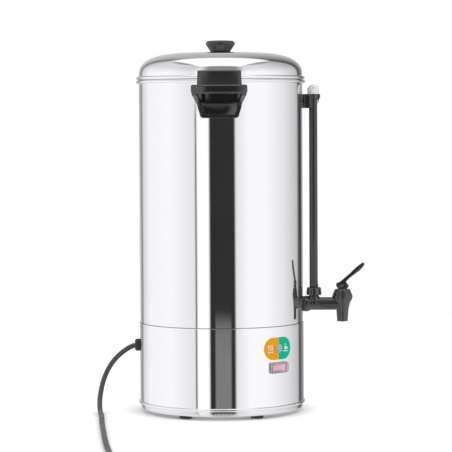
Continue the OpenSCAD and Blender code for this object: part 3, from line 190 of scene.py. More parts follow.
class Graph:
    """Short calls that add nodes to one tree. A value is a number, a colour or a socket."""

    def __init__(self, tree):
        self.tree = tree

    def add(self, kind, inputs=None, **settings):
        made = self.tree.nodes.new(kind)
        for name, value in settings.items():
            setattr(made, name, value)
        for name, value in (inputs or {}).items():
            self.set(made.inputs[name], value)
        return made

    def set(self, socket, value):
        if isinstance(value, bpy.types.NodeSocket):
            self.tree.links.new(value, socket)
        else:
            socket.default_value = value

    def math(self, operation, *values):
        made = self.add("ShaderNodeMath", operation=operation)
        for socket, value in zip(made.inputs, values):
            self.set(socket, value)
        return made.outputs[0]

    def remap(self, value, low, high, to_low=0.0, to_high=1.0, soft=True):
        made = self.add("ShaderNodeMapRange", {
            "Value": value, "From Min": low, "From Max": high,
            "To Min": to_low, "To Max": to_high,
        })
        made.interpolation_type = "SMOOTHSTEP" if soft else "LINEAR"
        return made.outputs[0]

    def mix(self, share, first, second):
        made = self.add("ShaderNodeMix", data_type="RGBA")
        self.set(made.inputs[0], share)
        self.set(made.inputs[6], first)
        self.set(made.inputs[7], second)
        return made.outputs[2]

    def noise(self, place, scale, detail=2.0, roughness=0.5):
        made = self.add("ShaderNodeTexNoise", {
            "Vector": place, "Scale": scale, "Detail": detail, "Roughness": roughness,
        })
        return made.outputs[0]

    def stretched(self, place, scale):
        return self.add("ShaderNodeMapping", {"Vector": place, "Scale": scale}).outputs[0]


def shader_group(name, inputs, outputs, build):
    """A group whose numbers come in by name and whose masks, colours or heights go out."""
    tree = bpy.data.node_groups.new(name, "ShaderNodeTree")
    for label, value in inputs.items():
        kind = "NodeSocketColor" if isinstance(value, tuple) else "NodeSocketFloat"
        tree.interface.new_socket(label, in_out="INPUT", socket_type=kind).default_value = value
    for label, kind in outputs.items():
        tree.interface.new_socket(label, in_out="OUTPUT", socket_type=kind)
    graph = Graph(tree)
    given = graph.add("NodeGroupInput").outputs
    result = graph.add("NodeGroupOutput").inputs
    for label, value in build(graph, given).items():
        graph.set(result[label], value)
    return tree


def object_place(graph):
    return graph.add("ShaderNodeTexCoord").outputs["Object"]


def build_smudges(graph, given):
    """Soft clouds of handling and wiping, as a roughness between two values."""
    cloud = graph.noise(object_place(graph), given["Scale"], detail=4.0, roughness=0.6)
    share = graph.remap(cloud, 0.35, 0.68)
    spread = graph.math("SUBTRACT", given["High"], given["Low"])
    return {"Roughness": graph.math("MULTIPLY_ADD", share, spread, given["Low"])}


def build_polish(graph, given):
    """Fine polishing lines that run round the body, and the scratches of use."""
    place = object_place(graph)
    lines = graph.noise(graph.stretched(place, (25.0, 25.0, 2600.0)), 1.0, detail=3.0)
    scratch = graph.noise(graph.stretched(place, (210.0, 210.0, 900.0)), 1.0, detail=5.0)
    sparse = graph.remap(scratch, 0.66, 0.74)
    wave = graph.noise(place, 9.0, detail=1.0)
    height = graph.math("MULTIPLY_ADD", wave, given["Wave"], lines)
    cloud = graph.noise(place, 14.0, detail=4.0, roughness=0.65)
    haze = graph.remap(cloud, 0.4, 0.7, 0.0, 0.03)
    base = graph.math("MULTIPLY_ADD", sparse, 0.05, given["Roughness"])
    return {"Height": height, "Roughness": graph.math("ADD", base, haze)}


def build_grain(graph, given):
    """The spark-eroded grain of a moulding tool."""
    place = object_place(graph)
    fine = graph.noise(place, given["Scale"], detail=3.0, roughness=0.7)
    pits = graph.add("ShaderNodeTexVoronoi", {"Vector": place, "Scale": given["Scale"]})
    height = graph.math("MULTIPLY_ADD", pits.outputs["Distance"], 0.6, fine)
    return {"Height": height}


def build_wear(graph, given):
    """Handling wear along a moulding's edges, where its edge attribute is 1."""
    edge = graph.add("ShaderNodeAttribute", attribute_name=EDGE_LAYER).outputs["Fac"]
    cloud = graph.noise(object_place(graph), 160.0, detail=4.0, roughness=0.65)
    patchy = graph.remap(cloud, 0.38, 0.62, 0.25, 1.0)
    mask = graph.math("MULTIPLY", graph.math("MULTIPLY", edge, patchy), given["Amount"])
    return {"Color": graph.mix(mask, given["Base"], given["Worn"]), "Mask": mask}


def build_seam_shade(graph, given):
    """Painted shade along the shadow gap of a lap seam, as a mask about its height."""
    up = graph.add("ShaderNodeSeparateXYZ", {"Vector": object_place(graph)}).outputs["Z"]
    off = graph.math("ABSOLUTE", graph.math("SUBTRACT", up, given["Height"]))
    band = graph.remap(off, 0.0, given["Width"], 1.0, 0.0)
    cloud = graph.noise(object_place(graph), 220.0, detail=3.0)
    return {"Mask": graph.math("MULTIPLY", band, graph.remap(cloud, 0.2, 0.6, 0.75, 1.0))}


def build_inside(graph, given):
    """The unpolished inside of a round shell, as a mask within a radius."""
    split = graph.add("ShaderNodeSeparateXYZ", {"Vector": object_place(graph)}).outputs
    across = graph.math("MULTIPLY", split["X"], split["X"])
    reach = graph.math("SQRT", graph.math("MULTIPLY_ADD", split["Y"], split["Y"], across))
    return {"Mask": graph.math("LESS_THAN", reach, given["Radius"])}


EDGE_LAYER = "edge_wear"
BUMP_DEPTH = 0.02 * MM
NUMBER, COLOUR = "NodeSocketFloat", "NodeSocketColor"
smudges = shader_group(
    "wiped_smudges", {"Scale": 30.0, "Low": 0.3, "High": 0.4}, {"Roughness": NUMBER},
    build_smudges)
polish = shader_group(
    "polish_lines", {"Roughness": 0.03, "Wave": 0.5}, {"Height": NUMBER, "Roughness": NUMBER},
    build_polish)
grain = shader_group("tool_grain", {"Scale": 900.0}, {"Height": NUMBER}, build_grain)
# Painted shade: a dark band along the lap seam where the skirt meets the tank
seam_shade_group = shader_group(
    "seam_painted_shade", {"Height": 0.13, "Width": 0.001}, {"Mask": NUMBER}, build_seam_shade)
inside = shader_group("shell_inside", {"Radius": 0.1}, {"Mask": NUMBER}, build_inside)
wear = shader_group(
    "edge_wear",
    {"Amount": 0.5, "Base": (0.02, 0.02, 0.02, 1.0), "Worn": (0.1, 0.1, 0.1, 1.0)},
    {"Color": COLOUR, "Mask": NUMBER}, build_wear)


def new_material(name, **constants):
    """A material with one Principled shader. Each constant is set on the shader's own socket."""
    material = bpy.data.materials.new(name)
    material.use_nodes = True
    graph = Graph(material.node_tree)
    shader = material.node_tree.nodes["Principled BSDF"]
    for label, value in constants.items():
        shader.inputs[label.replace("_", " ")].default_value = value
    return material, graph, shader


def place_group(graph, group, **values):
    made = graph.add("ShaderNodeGroup", node_tree=group)
    for label, value in values.items():
        graph.set(made.inputs[label], value)
    return made.outputs


def bump(graph, shader, height, strength, distance):
    made = graph.add("ShaderNodeBump", {
        "Height": height, "Strength": strength, "Distance": distance,
    })
    graph.set(shader.inputs["Normal"], made.outputs[0])


def grey(level):
    return (level, level, level * 1.01, 1.0)


# --------------------------------------------------------------- materials


def steel(name, level, roughness, strength, wave=0.5, seam_at=None, matt_within=None):
    """Polished or plain steel. It may have painted shade along a seam at a height, and a matt
    inside.
    """
    material, graph, shader = new_material(name, Base_Color=grey(level), Metallic=1.0)
    lines = place_group(graph, polish, Roughness=roughness, Wave=wave)
    finish = lines["Roughness"]
    if matt_within:
        mask = place_group(graph, inside, Radius=matt_within)["Mask"]
        finish = graph.math("MULTIPLY_ADD", mask, MATT_ROUGHNESS, finish)
        sheen = graph.remap(mask, 0.0, 1.0, 1.0, MATT_METALLIC, soft=False)
        graph.set(shader.inputs["Metallic"], sheen)
    graph.set(shader.inputs["Roughness"], finish)
    bump(graph, shader, lines["Height"], strength, BUMP_DEPTH)
    # Painted shade: the base colour darkens along the seam's shadow gap
    if seam_at:
        seam_shade = place_group(graph, seam_shade_group, Height=seam_at, Width=SEAM_W * MM)
        colour = graph.mix(seam_shade["Mask"], grey(level), grey(SEAM_SHADE_LEVEL))
        graph.set(shader.inputs["Base Color"], colour)
    return material


def moulding(name, base, worn, low, high, grain_scale=5000.0, depth=0.1, amount=0.5, **constants):
    """A moulded plastic or rubber: its colour worn at the edges, with grain and smudges."""
    material, graph, shader = new_material(name, **constants)
    edge = place_group(graph, wear, Amount=amount, Base=base, Worn=worn)
    graph.set(shader.inputs["Base Color"], edge["Color"])
    sheen = place_group(graph, smudges, Scale=45.0, Low=low, High=high)
    graph.set(shader.inputs["Roughness"], sheen["Roughness"])
    skin = place_group(graph, grain, Scale=grain_scale)
    bump(graph, shader, skin["Height"], depth, BUMP_DEPTH)
    return material


TANK_R = 119.5
SHEET = 0.8
TANK_IN_R = TANK_R - SHEET
# Width and grey level of the painted shade along the skirt's lap seam
SEAM_W = 1.2
SEAM_SHADE_LEVEL = 0.12
# What the matt inside of the tank adds in roughness, and its share of bare metal
MATT_ROUGHNESS = 0.3
MATT_METALLIC = 0.5
mirror_steel = steel("mirror_steel", 0.90, 0.03, 0.06)
# The tank carries the painted seam shade just above the skirt's top edge
tank_steel = steel(
    "tank_steel", 0.90, 0.03, 0.06, seam_at=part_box("base_skirt")[1].z + 0.3 * MM,
    matt_within=(TANK_IN_R + 0.2) * MM)
sheet_steel = steel("sheet_steel", 0.80, 0.12, 0.2)
bright_zinc = steel("bright_zinc", 0.62, 0.26, 0.3)
tinted_sheath = steel("tinted_sheath", 0.24, 0.36, 0.4)
cast_aluminium = steel("cast_aluminium", 0.7, 0.32, 0.5)
nickel = steel("nickel", 0.68, 0.16, 0.15)
handle_black = moulding(
    "handle_black", grey(0.014), grey(0.05), 0.13, 0.2, depth=0.05,
    Specular_IOR_Level=1.0)
knob_black = moulding(
    "knob_black", grey(0.03), grey(0.08), 0.2, 0.28, depth=0.05, Specular_IOR_Level=0.7)
tap_black = moulding(
    "tap_black", grey(0.024), grey(0.07), 0.08, 0.15, depth=0.04, Specular_IOR_Level=1.0)
guard_black = moulding(
    "guard_black", grey(0.012), grey(0.05), 0.05, 0.1, grain_scale=2000.0, depth=0.02,
    Specular_IOR_Level=1.0)
lamp_black = moulding("lamp_black", grey(0.03), grey(0.09), 0.35, 0.45)
rubber_black = moulding(
    "rubber_black", grey(0.028), grey(0.07), 0.5, 0.65, grain_scale=2500.0, depth=0.4)
lead_rubber = moulding(
    "lead_rubber", grey(0.075), grey(0.1), 0.38, 0.5, grain_scale=2500.0, depth=0.3, amount=0.0)
cap_white = moulding(
    "cap_white", (0.80, 0.80, 0.76, 1.0), (0.9, 0.9, 0.88, 1.0), 0.25, 0.35, depth=0.08,
    Subsurface_Weight=0.2, Subsurface_Scale=2 * MM)
switch_grey = moulding(
    "switch_grey", (0.41, 0.44, 0.45, 1.0), (0.55, 0.57, 0.58, 1.0), 0.3, 0.38)
rocker_rose = moulding(
    "rocker_rose", (0.92, 0.53, 0.63, 1.0), (0.97, 0.65, 0.74, 1.0), 0.2, 0.28, depth=0.05)
sensor_brown = moulding("sensor_brown", (0.1, 0.06, 0.035, 1.0), grey(0.12), 0.35, 0.5)
steatite = moulding("steatite", (0.72, 0.68, 0.6, 1.0), (0.8, 0.77, 0.7, 1.0), 0.5, 0.6)
button_red = moulding("button_red", (0.55, 0.04, 0.035, 1.0), (0.65, 0.1, 0.08, 1.0), 0.25, 0.35)
nylon = moulding("nylon", (0.76, 0.75, 0.68, 1.0), (0.85, 0.84, 0.8, 1.0), 0.35, 0.45)


def clear(name, tint, ior, low, high):
    """A clear material that lets the room's light reach what lies behind it."""
    material, graph, shader = new_material(
        name, Base_Color=tint, Transmission_Weight=1.0, IOR=ior)
    sheen = place_group(graph, smudges, Scale=60.0, Low=low, High=high)
    graph.set(shader.inputs["Roughness"], sheen["Roughness"])
    path = graph.add("ShaderNodeLightPath").outputs
    lighting = graph.math("MAXIMUM", path["Is Shadow Ray"], path["Is Diffuse Ray"])
    through = graph.add("ShaderNodeBsdfTransparent", {"Color": tint})
    passing = graph.add("ShaderNodeMixShader", {"Fac": lighting})
    graph.tree.links.new(shader.outputs[0], passing.inputs[1])
    graph.tree.links.new(through.outputs[0], passing.inputs[2])
    out = graph.tree.nodes["Material Output"]
    graph.tree.links.new(passing.outputs[0], out.inputs["Surface"])
    return material


gauge_clear = clear("gauge_clear", (0.93, 0.97, 0.96, 1.0), 1.47, 0.01, 0.04)
boot_clear = clear("boot_clear", (0.99, 0.97, 0.98, 1.0), 1.22, 0.03, 0.09)
lens_clear = moulding(
    "lens_clear", (0.56, 0.55, 0.56, 1.0), (0.8, 0.79, 0.8, 1.0), 0.06, 0.14, depth=0.03,
    Transmission_Weight=0.25)

# ------------------------------------------------------------ mesh helpers

SPIN_STEPS = 256
SMOOTH_ANGLE = math.radians(32)
WELD = 0.002 * MM


def finish_piece(bm, name, material, body, replaced=(), smooth=SMOOTH_ANGLE):
    """Turns a bmesh into a piece that rides on a body and stands for CAD nodes."""
    mesh = bpy.data.meshes.new(name)
    bm.to_mesh(mesh)
    bm.free()
    mesh.materials.clear()
    mesh.materials.append(material)
    for face in mesh.polygons:
        face.use_smooth = True
    mesh.set_sharp_from_angle(angle=smooth)
    piece = bpy.data.objects.new(name, mesh)
    bpy.context.scene.collection.objects.link(piece)
    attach(piece, body)
    if replaced:
        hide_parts(*replaced)
    return piece


def arc(centre_r, centre_z, radius, start, end, count):
    """Points of a round stretch of a profile, in degrees from the +r direction."""
    angles = [math.radians(start + (end - start) * i / count) for i in range(count + 1)]
    return [(centre_r + radius * math.cos(a), centre_z + radius * math.sin(a)) for a in angles]


def spun(profile, closed=True, steps=SPIN_STEPS):
    """A full turn of a profile of (radius, height) points in millimetres about the urn's axis."""
    bm = bmesh.new()
    verts = [bm.verts.new((r * MM, 0.0, z * MM)) for r, z in profile]
    pairs = list(zip(verts, verts[1:])) + ([(verts[-1], verts[0])] if closed else [])
    edges = [bm.edges.new(pair) for pair in pairs]
    bmesh.ops.spin(
        bm, geom=verts + edges, cent=(0, 0, 0), axis=(0, 0, 1), angle=math.tau,
        steps=steps, use_merge=True)
    bmesh.ops.remove_doubles(bm, verts=bm.verts, dist=WELD)
    bmesh.ops.recalc_face_normals(bm, faces=bm.faces)
    return bm


def rounded_copy(node, edge_mm, crease=math.radians(25)):
    """A CAD node's shape with its edges rounded. The rounded edges carry the wear attribute."""
    bm = bmesh.new()
    bm.from_mesh(nodes[node].data)
    bmesh.ops.remove_doubles(bm, verts=bm.verts, dist=WELD)
    bmesh.ops.dissolve_limit(
        bm, angle_limit=math.radians(0.5), verts=bm.verts, edges=bm.edges)
    sharp = [e for e in bm.edges if len(e.link_faces) == 2 and e.calc_face_angle(0) > crease]
    made = bmesh.ops.bevel(
        bm, geom=sharp, offset=edge_mm * MM, offset_type="OFFSET", segments=2, profile=0.5,
        affect="EDGES", clamp_overlap=True, material=-1)
    layer = bm.loops.layers.float.new(EDGE_LAYER)
    for face in made["faces"]:
        for loop in face.loops:
            loop[layer] = 1.0
    return bm


# ------------------------------------------------------------ steel bodies

floor_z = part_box("heat_plate")[1].z / MM
rim_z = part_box("tank")[1].z / MM
TANK_BEAD = 2.5
CORNER = 6.0
# Height of the rings that keep a wall's shading straight beside a rounded edge
EDGE_LOOP = 0.5


def tank_profile():
    bead_r, bead_z = TANK_IN_R + TANK_BEAD, rim_z - TANK_BEAD
    meet = math.degrees(math.acos((TANK_R - bead_r) / TANK_BEAD))
    corner_r, corner_z = TANK_R - CORNER, floor_z + CORNER
    return (
        [(0, floor_z)]
        + arc(corner_r, corner_z, CORNER, -90, 0, 8)
        + [(TANK_R, corner_z + EDGE_LOOP), (TANK_R, bead_z - TANK_BEAD - EDGE_LOOP)]
        + arc(bead_r, bead_z, TANK_BEAD, -meet, 180, 24)
        + arc(corner_r, corner_z, CORNER - SHEET, 0, -90, 8)
        + [(0, floor_z + SHEET)]
    )


finish_piece(
    spun(tank_profile(), closed=False), "tank_shell", tank_steel, "urn", ["tank"])

skirt_low, skirt_high = (corner.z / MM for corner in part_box("base_skirt"))
SKIRT_IN_R = 119.7
SKIRT_WALL = 0.6
SKIRT_R = SKIRT_IN_R + SKIRT_WALL
SKIRT_BEAD = 2.3
SKIRT_FLANGE = 10.0
# The cut-out for the switch, which lies under its bezel: heights, and turn in degrees
WELL_LOW, WELL_HIGH = 66.0, 78.4
WELL_START, WELL_END = -53.6, -40.6


def skirt_profile():
    bead_r, bead_z = SKIRT_R - SKIRT_WALL, skirt_low + SKIRT_BEAD
    meet = math.degrees(math.acos(SKIRT_WALL / SKIRT_BEAD))
    lip = SKIRT_WALL / 2
    return (
        [(SKIRT_IN_R - SKIRT_FLANGE, skirt_low)]
        + arc(bead_r, bead_z, SKIRT_BEAD, -90, meet, 14)
        + [(SKIRT_R, bead_z + SKIRT_BEAD + EDGE_LOOP), (SKIRT_R, WELL_LOW), (SKIRT_R, WELL_HIGH)]
        + [(SKIRT_R, skirt_high - lip - EDGE_LOOP)]
        + arc(SKIRT_R - lip, skirt_high - lip, lip, 0, 180, 6)
        + [(SKIRT_IN_R, WELL_HIGH), (SKIRT_IN_R, WELL_LOW)]
        + [(SKIRT_IN_R, skirt_low + 2 * SKIRT_BEAD)]
        + [(SKIRT_IN_R - 1.5, skirt_low + SKIRT_WALL)]
        + [(SKIRT_IN_R - SKIRT_FLANGE, skirt_low + SKIRT_WALL)]
    )


def skirt():
    """The skirt with its cut-out for the switch."""
    bm = spun(skirt_profile())
    cut = []
    for face in bm.faces:
        middle = face.calc_center_median() / MM
        turn = math.degrees(math.atan2(middle.y, middle.x))
        if WELL_START < turn < WELL_END and WELL_LOW < middle.z < WELL_HIGH:
            cut.append(face)
    bmesh.ops.delete(bm, geom=cut, context="FACES")
    rim = [edge for edge in bm.edges if edge.is_boundary]
    bmesh.ops.bridge_loops(bm, edges=rim)
    bmesh.ops.recalc_face_normals(bm, faces=bm.faces)
    return bm


finish_piece(
    skirt(), "skirt_shell", mirror_steel, "urn", ["base_skirt"])

# --------------------------------------------------------------------- lid

LID_BEAD = 2.7
LID_RIM_R = 123.0
LID_WALL_H = 6.0
LIP_R = 117.9
NOTCH_HALF_W = 18.0
DOME_POWER = 4.3
DOME_ROUND = 0.41
DOME_STEPS = 48
lid_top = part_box("lid_shell")[1].z / MM
lid_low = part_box("lid_shell")[0].z / MM
lid_seat = rim_z + 0.3
lid_web = lid_seat + LID_BEAD
lid_wall_top = lid_seat + LID_WALL_H


def dome(r_max, height):
    """Half of the dome's outline, from its wall to its middle."""
    points = []
    for i in range(DOME_STEPS + 1):
        r = r_max * math.cos(math.pi / 2 * i / DOME_STEPS)
        rise = height * (1 - (r / r_max) ** DOME_POWER) ** DOME_ROUND
        points.append((r, lid_wall_top + rise))
    return points


def lid_profile():
    height = lid_top - lid_wall_top
    return (
        [(TANK_R, lid_web - SHEET)] + dome(TANK_R, height)
        + dome(TANK_IN_R, height - SHEET)[::-1]
        + [(TANK_IN_R, lid_web), (LIP_R - SHEET, lid_web), (LIP_R - SHEET, lid_low)]
        + [(LIP_R, lid_low), (LIP_R, lid_web - SHEET)]
    )


finish_piece(
    spun(lid_profile()), "lid_dome", mirror_steel, "lid", ["lid_shell"])


def rim_bead(side):
    """The rolled rim between the two notches, as one arc with closed ends."""
    bm = bmesh.new()
    ring = arc(LID_RIM_R - LID_BEAD, lid_web, LID_BEAD, 0, 360, 24)[:-1]
    face = bm.faces.new([bm.verts.new((r * MM, 0.0, z * MM)) for r, z in ring])
    half = math.pi / 2 - math.asin(NOTCH_HALF_W / TANK_R)
    turn = Matrix.Rotation(side - half, 4, "Z")
    bmesh.ops.transform(bm, matrix=turn, verts=bm.verts)
    bmesh.ops.spin(
        bm, geom=[face] + list(face.verts) + list(face.edges), cent=(0, 0, 0), axis=(0, 0, 1),
        angle=2 * half, steps=SPIN_STEPS // 2, use_merge=False)
    bmesh.ops.recalc_face_normals(bm, faces=bm.faces)
    return bm


for name, side in (("lid_rim_tap_side", 0.0), ("lid_rim_cord_side", math.pi)):
    finish_piece(rim_bead(side), name, mirror_steel, "lid", ["lid_shell"])

# --------------------------------------------------------------- mouldings

# Node: name of the piece, its material, its body, its slot, and the rounding of its edges in mm
MOULDED = {
    "lid_knob": ("knob_moulding", knob_black, "lid", "handle_plastic", 0.6),
    "lid_knob_washer": ("knob_washer_ring", rubber_black, "lid", "rubber", 0.2),
    "handle_near": ("near_handle_moulding", handle_black, "urn", "handle_plastic", 0.5),
    "handle_far": ("far_handle_moulding", handle_black, "urn", "handle_plastic", 0.5),
    "tap_body": ("tap_body_moulding", tap_black, "urn", "tap_plastic", 0.35),
    "tap_bonnet": ("bonnet_moulding", tap_black, "urn", "tap_plastic", 0.4),
    "tap_lever": ("lever_moulding", tap_black, "lever", "tap_plastic", 0.5),
    "gauge_nut": ("gauge_nut_moulding", tap_black, "urn", "tap_plastic", 0.35),
    "gauge_bracket": ("gauge_clip_moulding", tap_black, "urn", "tap_plastic", 0.35),
    "gauge_guard": ("guard_tube", guard_black, "urn", "guard_plastic", 0.2),
    "gauge_cap": ("vent_cap_moulding", cap_white, "vent_cap", "cap_plastic", 0.4),
    "lamp_lens": ("pilot_lens", lens_clear, "urn", "lens_plastic", 0.2),
    "switch_body": ("switch_frame", switch_grey, "urn", "switch_plastic", 0.3),
    "switch_rocker": ("rocker_moulding", rocker_rose, "rocker", "rocker_plastic", 0.3),
    "switch_boot": ("silicone_boot", boot_clear, "urn", "boot_silicone", 0.1),
    "bottom_pan": ("pan_pressing", sheet_steel, "urn", "pan_steel", 0.2),
    "foot_1": ("foot_moulding_1", rubber_black, "urn", "rubber", 0.4),
    "foot_2": ("foot_moulding_2", rubber_black, "urn", "rubber", 0.4),
    "foot_3": ("foot_moulding_3", rubber_black, "urn", "rubber", 0.4),
    "foot_4": ("foot_moulding_4", rubber_black, "urn", "rubber", 0.4),
    "cord_gland": ("gland_moulding", rubber_black, "urn", "rubber", 0.4),
}

for node, (name, material, body, slot, edge_mm) in MOULDED.items():
    finish_piece(rounded_copy(node, edge_mm), name, material, body, [node])

# CAD nodes whose own shape is shown, by material
SHOWN = {
    bright_zinc: [
        "foot_screws", "foot_nuts", "pan_screws", "lid_knob_screw", "handle_screws",
        "tap_lock_nut", "tap_stem", "tap_spring", "tap_lever_pin", "gauge_bracket_screw",
        "element_clamp", "element_nut",
    ],
    rubber_black: [
        "handle_washers", "tap_wall_washer", "tap_inner_washer", "tap_seat_cup", "gauge_seal",
    ],
    lamp_black: ["lamp_body", "lamp_nut", "gland_nut", "plug_body"],
    gauge_clear: ["gauge_glass"],
    cast_aluminium: ["heat_plate"],
    tinted_sheath: ["heating_element"],
    sensor_brown: ["thermostat"],
    steatite: ["thermal_cutout"],
    button_red: ["reset_button"],
    nylon: ["terminal_block"],
    nickel: ["plug_pins"],
}

for material, names in SHOWN.items():
    for name in names:
        nodes[name].data.materials.clear()
        nodes[name].data.materials.append(material)

lead.data.materials.append(lead_rubber)

# ----------------------------------------------------------- printed plate

PLATE_W, PLATE_H = 51.5, 32.0
PANEL_ANGLE = math.radians(-47)
LENS_HOLE_D = 13.1
PLATE_SHEET = 0.4
PLATE_ROWS = 22
PLATE_COLUMNS = 24
PRINT_T = 0.04
STROKE_W = 1.15
WAVE_STEPS = 16
# Middles of the two signs, from the lens
HEAT_AT, READY_AT = -15.5, 14.2
panel_r = SKIRT_R + 0.1
lens_low, lens_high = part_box("lamp_lens")
lamp_z = (lens_low.z + lens_high.z) / 2 / MM

print_orange = moulding(
    "print_orange", (0.89, 0.39, 0.004, 1.0), (0.9, 0.5, 0.1, 1.0), 0.3, 0.38, depth=0.05,
    Specular_IOR_Level=0.1)
print_green = moulding(
    "print_green", (0.0, 0.5, 0.29, 1.0), (0.1, 0.55, 0.4, 1.0), 0.3, 0.38, depth=0.05,
    Specular_IOR_Level=0.1)
print_white = moulding(
    "print_white", (0.85, 0.85, 0.83, 1.0), (0.9, 0.9, 0.9, 1.0), 0.3, 0.38, depth=0.05,
    Specular_IOR_Level=0.25)


def on_panel(bm, radius):
    """Bends a flat outline, drawn in x and y with its thickness in z, round the skirt."""
    for vert in bm.verts:
        across, up, out = vert.co
        angle = PANEL_ANGLE + across / (radius * MM)
        reach = radius * MM + out
        vert.co = (reach * math.cos(angle), reach * math.sin(angle), lamp_z * MM + up)
    return bm


def raised(bm, low, high):
    """Gives a flat outline in the plane z = 0 its two heights in millimetres."""
    made = bmesh.ops.extrude_face_region(bm, geom=list(bm.faces))
    lifted = [g for g in made["geom"] if isinstance(g, bmesh.types.BMVert)]
    resting = [v for v in bm.verts if v not in set(lifted)]
    bmesh.ops.translate(bm, vec=(0, 0, high * MM), verts=lifted)
    bmesh.ops.translate(bm, vec=(0, 0, low * MM), verts=resting)
    bmesh.ops.recalc_face_normals(bm, faces=bm.faces)
    return bm


def ribbon(bm, points, width):
    """A flat stroke of one width along points in millimetres, fine enough to be bent."""
    line = []
    for start, end in zip(points, points[1:]):
        pieces = math.ceil(math.dist(start, end))
        line += [Vector(start).lerp(Vector(end), i / pieces) for i in range(pieces)]
    line.append(Vector(points[-1]))
    last = len(line) - 1
    strip = bmesh.ops.create_grid(bm, x_segments=last, y_segments=1, size=1.0)
    for vert in strip["verts"]:
        i = round((vert.co.x + 1) / 2 * last)
        ahead = (line[min(i + 1, last)] - line[max(i - 1, 0)]).normalized()
        point = line[i] + Vector((-ahead.y, ahead.x)) * vert.co.y * width / 2
        vert.co = (point.x * MM, point.y * MM, 0.0)


def wave(x, low, high, sway):
    """Points of an upright wavy stroke."""
    return [
        (x + sway * math.sin(math.tau * i / WAVE_STEPS), low + (high - low) * i / WAVE_STEPS)
        for i in range(WAVE_STEPS + 1)
    ]


def heat_strokes():
    """Three wavy strokes of heat over a bar."""
    bars = [wave(HEAT_AT + off, -1.8, 5.6, 0.7) for off in (-3.4, 0.0, 3.4)]
    return bars + [[(HEAT_AT - 5.2, -4.6), (HEAT_AT + 5.2, -4.6)]]


def cup_strokes():
    """A cup with its handle, a saucer and one wisp of steam."""
    handle = arc(READY_AT + 2.7, -0.4, 1.9, -80, 80, 10)
    return [handle, wave(READY_AT - 0.4, 3.2, 6.4, 0.6)] + [
        [(READY_AT - half, up), (READY_AT + half, up)]
        for half, up in ((2.9, 1.3), (2.7, 0.3), (2.4, -0.7), (2.0, -1.7), (4.6, -4.4))
    ]


def half_plate(side):
    """One colour of the plate: half of a slot-shaped outline with half of the lens hole."""
    bm = bmesh.new()
    half_h = PLATE_H / 2
    round_at = PLATE_W / 2 - half_h
    hole_r = LENS_HOLE_D / 2
    bmesh.ops.create_grid(bm, x_segments=PLATE_COLUMNS, y_segments=PLATE_ROWS, size=1.0)
    for vert in bm.verts:
        up = half_h * math.sin(math.pi / 2 * vert.co.y)
        inner = math.sqrt(max(0.0, hole_r ** 2 - up ** 2))
        outer = round_at + math.sqrt(max(0.0, half_h ** 2 - up ** 2))
        across = inner + (outer - inner) * (vert.co.x + 1) / 2
        vert.co = (side * across * MM, up * MM, 0.0)
    bmesh.ops.recalc_face_normals(bm, faces=bm.faces)
    return on_panel(raised(bm, 0.0, PLATE_SHEET), panel_r)


for name, side, material in (
        ("plate_heating_half", -1, print_orange), ("plate_ready_half", 1, print_green)):
    finish_piece(half_plate(side), name, material, "urn", ["indicator_plate"])


def symbol(strokes):
    """A generic white sign printed on the plate."""
    bm = bmesh.new()
    for points in strokes:
        ribbon(bm, points, STROKE_W)
    return on_panel(raised(bm, PLATE_SHEET, PLATE_SHEET + PRINT_T), panel_r)


for name, strokes in (("sign_heating", heat_strokes()), ("sign_ready", cup_strokes())):
    finish_piece(
        symbol(strokes), name, print_white, "urn", ["indicator_plate"])

# ------------------------------------------------------------ studio, floor

FLOOR_R = 1.57
FLOOR_LEVEL = 0.8
FLOOR_GLOW = 0.45
# How near a piece stands over the floor where it dims the floor's glow, which paints a shadow
# under the urn
PAINTED_SHADOW_REACH = 0.03
FILL_ENERGY = 0.9
FILL_SPREAD = math.radians(100)
FILL_AT = Vector((0.8, -2.0, 1.4))
FILL_AIM = Vector((-0.45, 1.0, -0.55))
# The studio's panels: turn in degrees from the camera's side towards the tap, and level
PANELS = {
    "rear wall, left half": [(-180, 0.65), (-165, 0.65)],
    "left flag": [(-150, 0.3), (-146, 0.3)],
    "left wall": [(-142, 0.7), (-120, 1.0), (-75, 1.05), (-36, 0.85)],
    "gap": [(-35.4, 0.15), (-34, 0.15)],
    "softbox": [(-33, 1.1), (-17, 1.1)],
    "doorway": [(-14.5, 0.03), (19, 0.03)],
    "right wall": [(21.5, 0.85), (40, 1.05), (65, 1.05), (100, 0.85), (135, 0.55)],
    "right flag": [(140, 0.12), (147, 0.12)],
    "rear wall, right half": [(160, 0.35), (180, 0.65)],
}
GAP_TURN = math.radians(-34.7)
DOORWAY_TURN = math.radians(3)
# Sines of the elevations between which one part of the room passes into the next
TABLE_NEAR = (-0.27, -0.21)
TABLE_EDGE = (-0.0976, -0.0898)
GAP_END = (0.0, 0.012)
WALL_FADE = (0.05, 0.65)
DARK_SOFTENS = (0.15, 0.4)
WALL_TOP = (0.76, 0.86)
BOX_ABOVE = (0.2, 0.3)
# Edges of the overhead softbox, as slopes from straight up
BOX_SIDE = (0.50, 0.60)
BOX_FRONT = (-0.86, -0.76)
BOX_BACK = (0.61, 0.71)


def wall_levels(graph, azimuth):
    """The level of the studio's panels by their turn."""
    share = graph.remap(azimuth, -math.pi, math.pi, soft=False)
    ramp = graph.add("ShaderNodeValToRGB", {"Fac": share})
    levels = [stop for panel in PANELS.values() for stop in panel]
    stops = ramp.color_ramp.elements
    for turn, level in levels[1:-1]:
        stops.new((turn + 180) / 360).color = grey(level)
    stops[0].color = grey(levels[0][1])
    stops[-1].color = grey(levels[-1][1])
    return ramp.outputs["Color"]


def turned_from(graph, azimuth, turn, near, far):
    """A mask about one turn: 1 within the near angle and 0 past the far one, in degrees."""
    off = graph.math("ABSOLUTE", graph.math("SUBTRACT", azimuth, turn))
    return graph.remap(off, math.radians(near), math.radians(far), 1.0, 0.0)


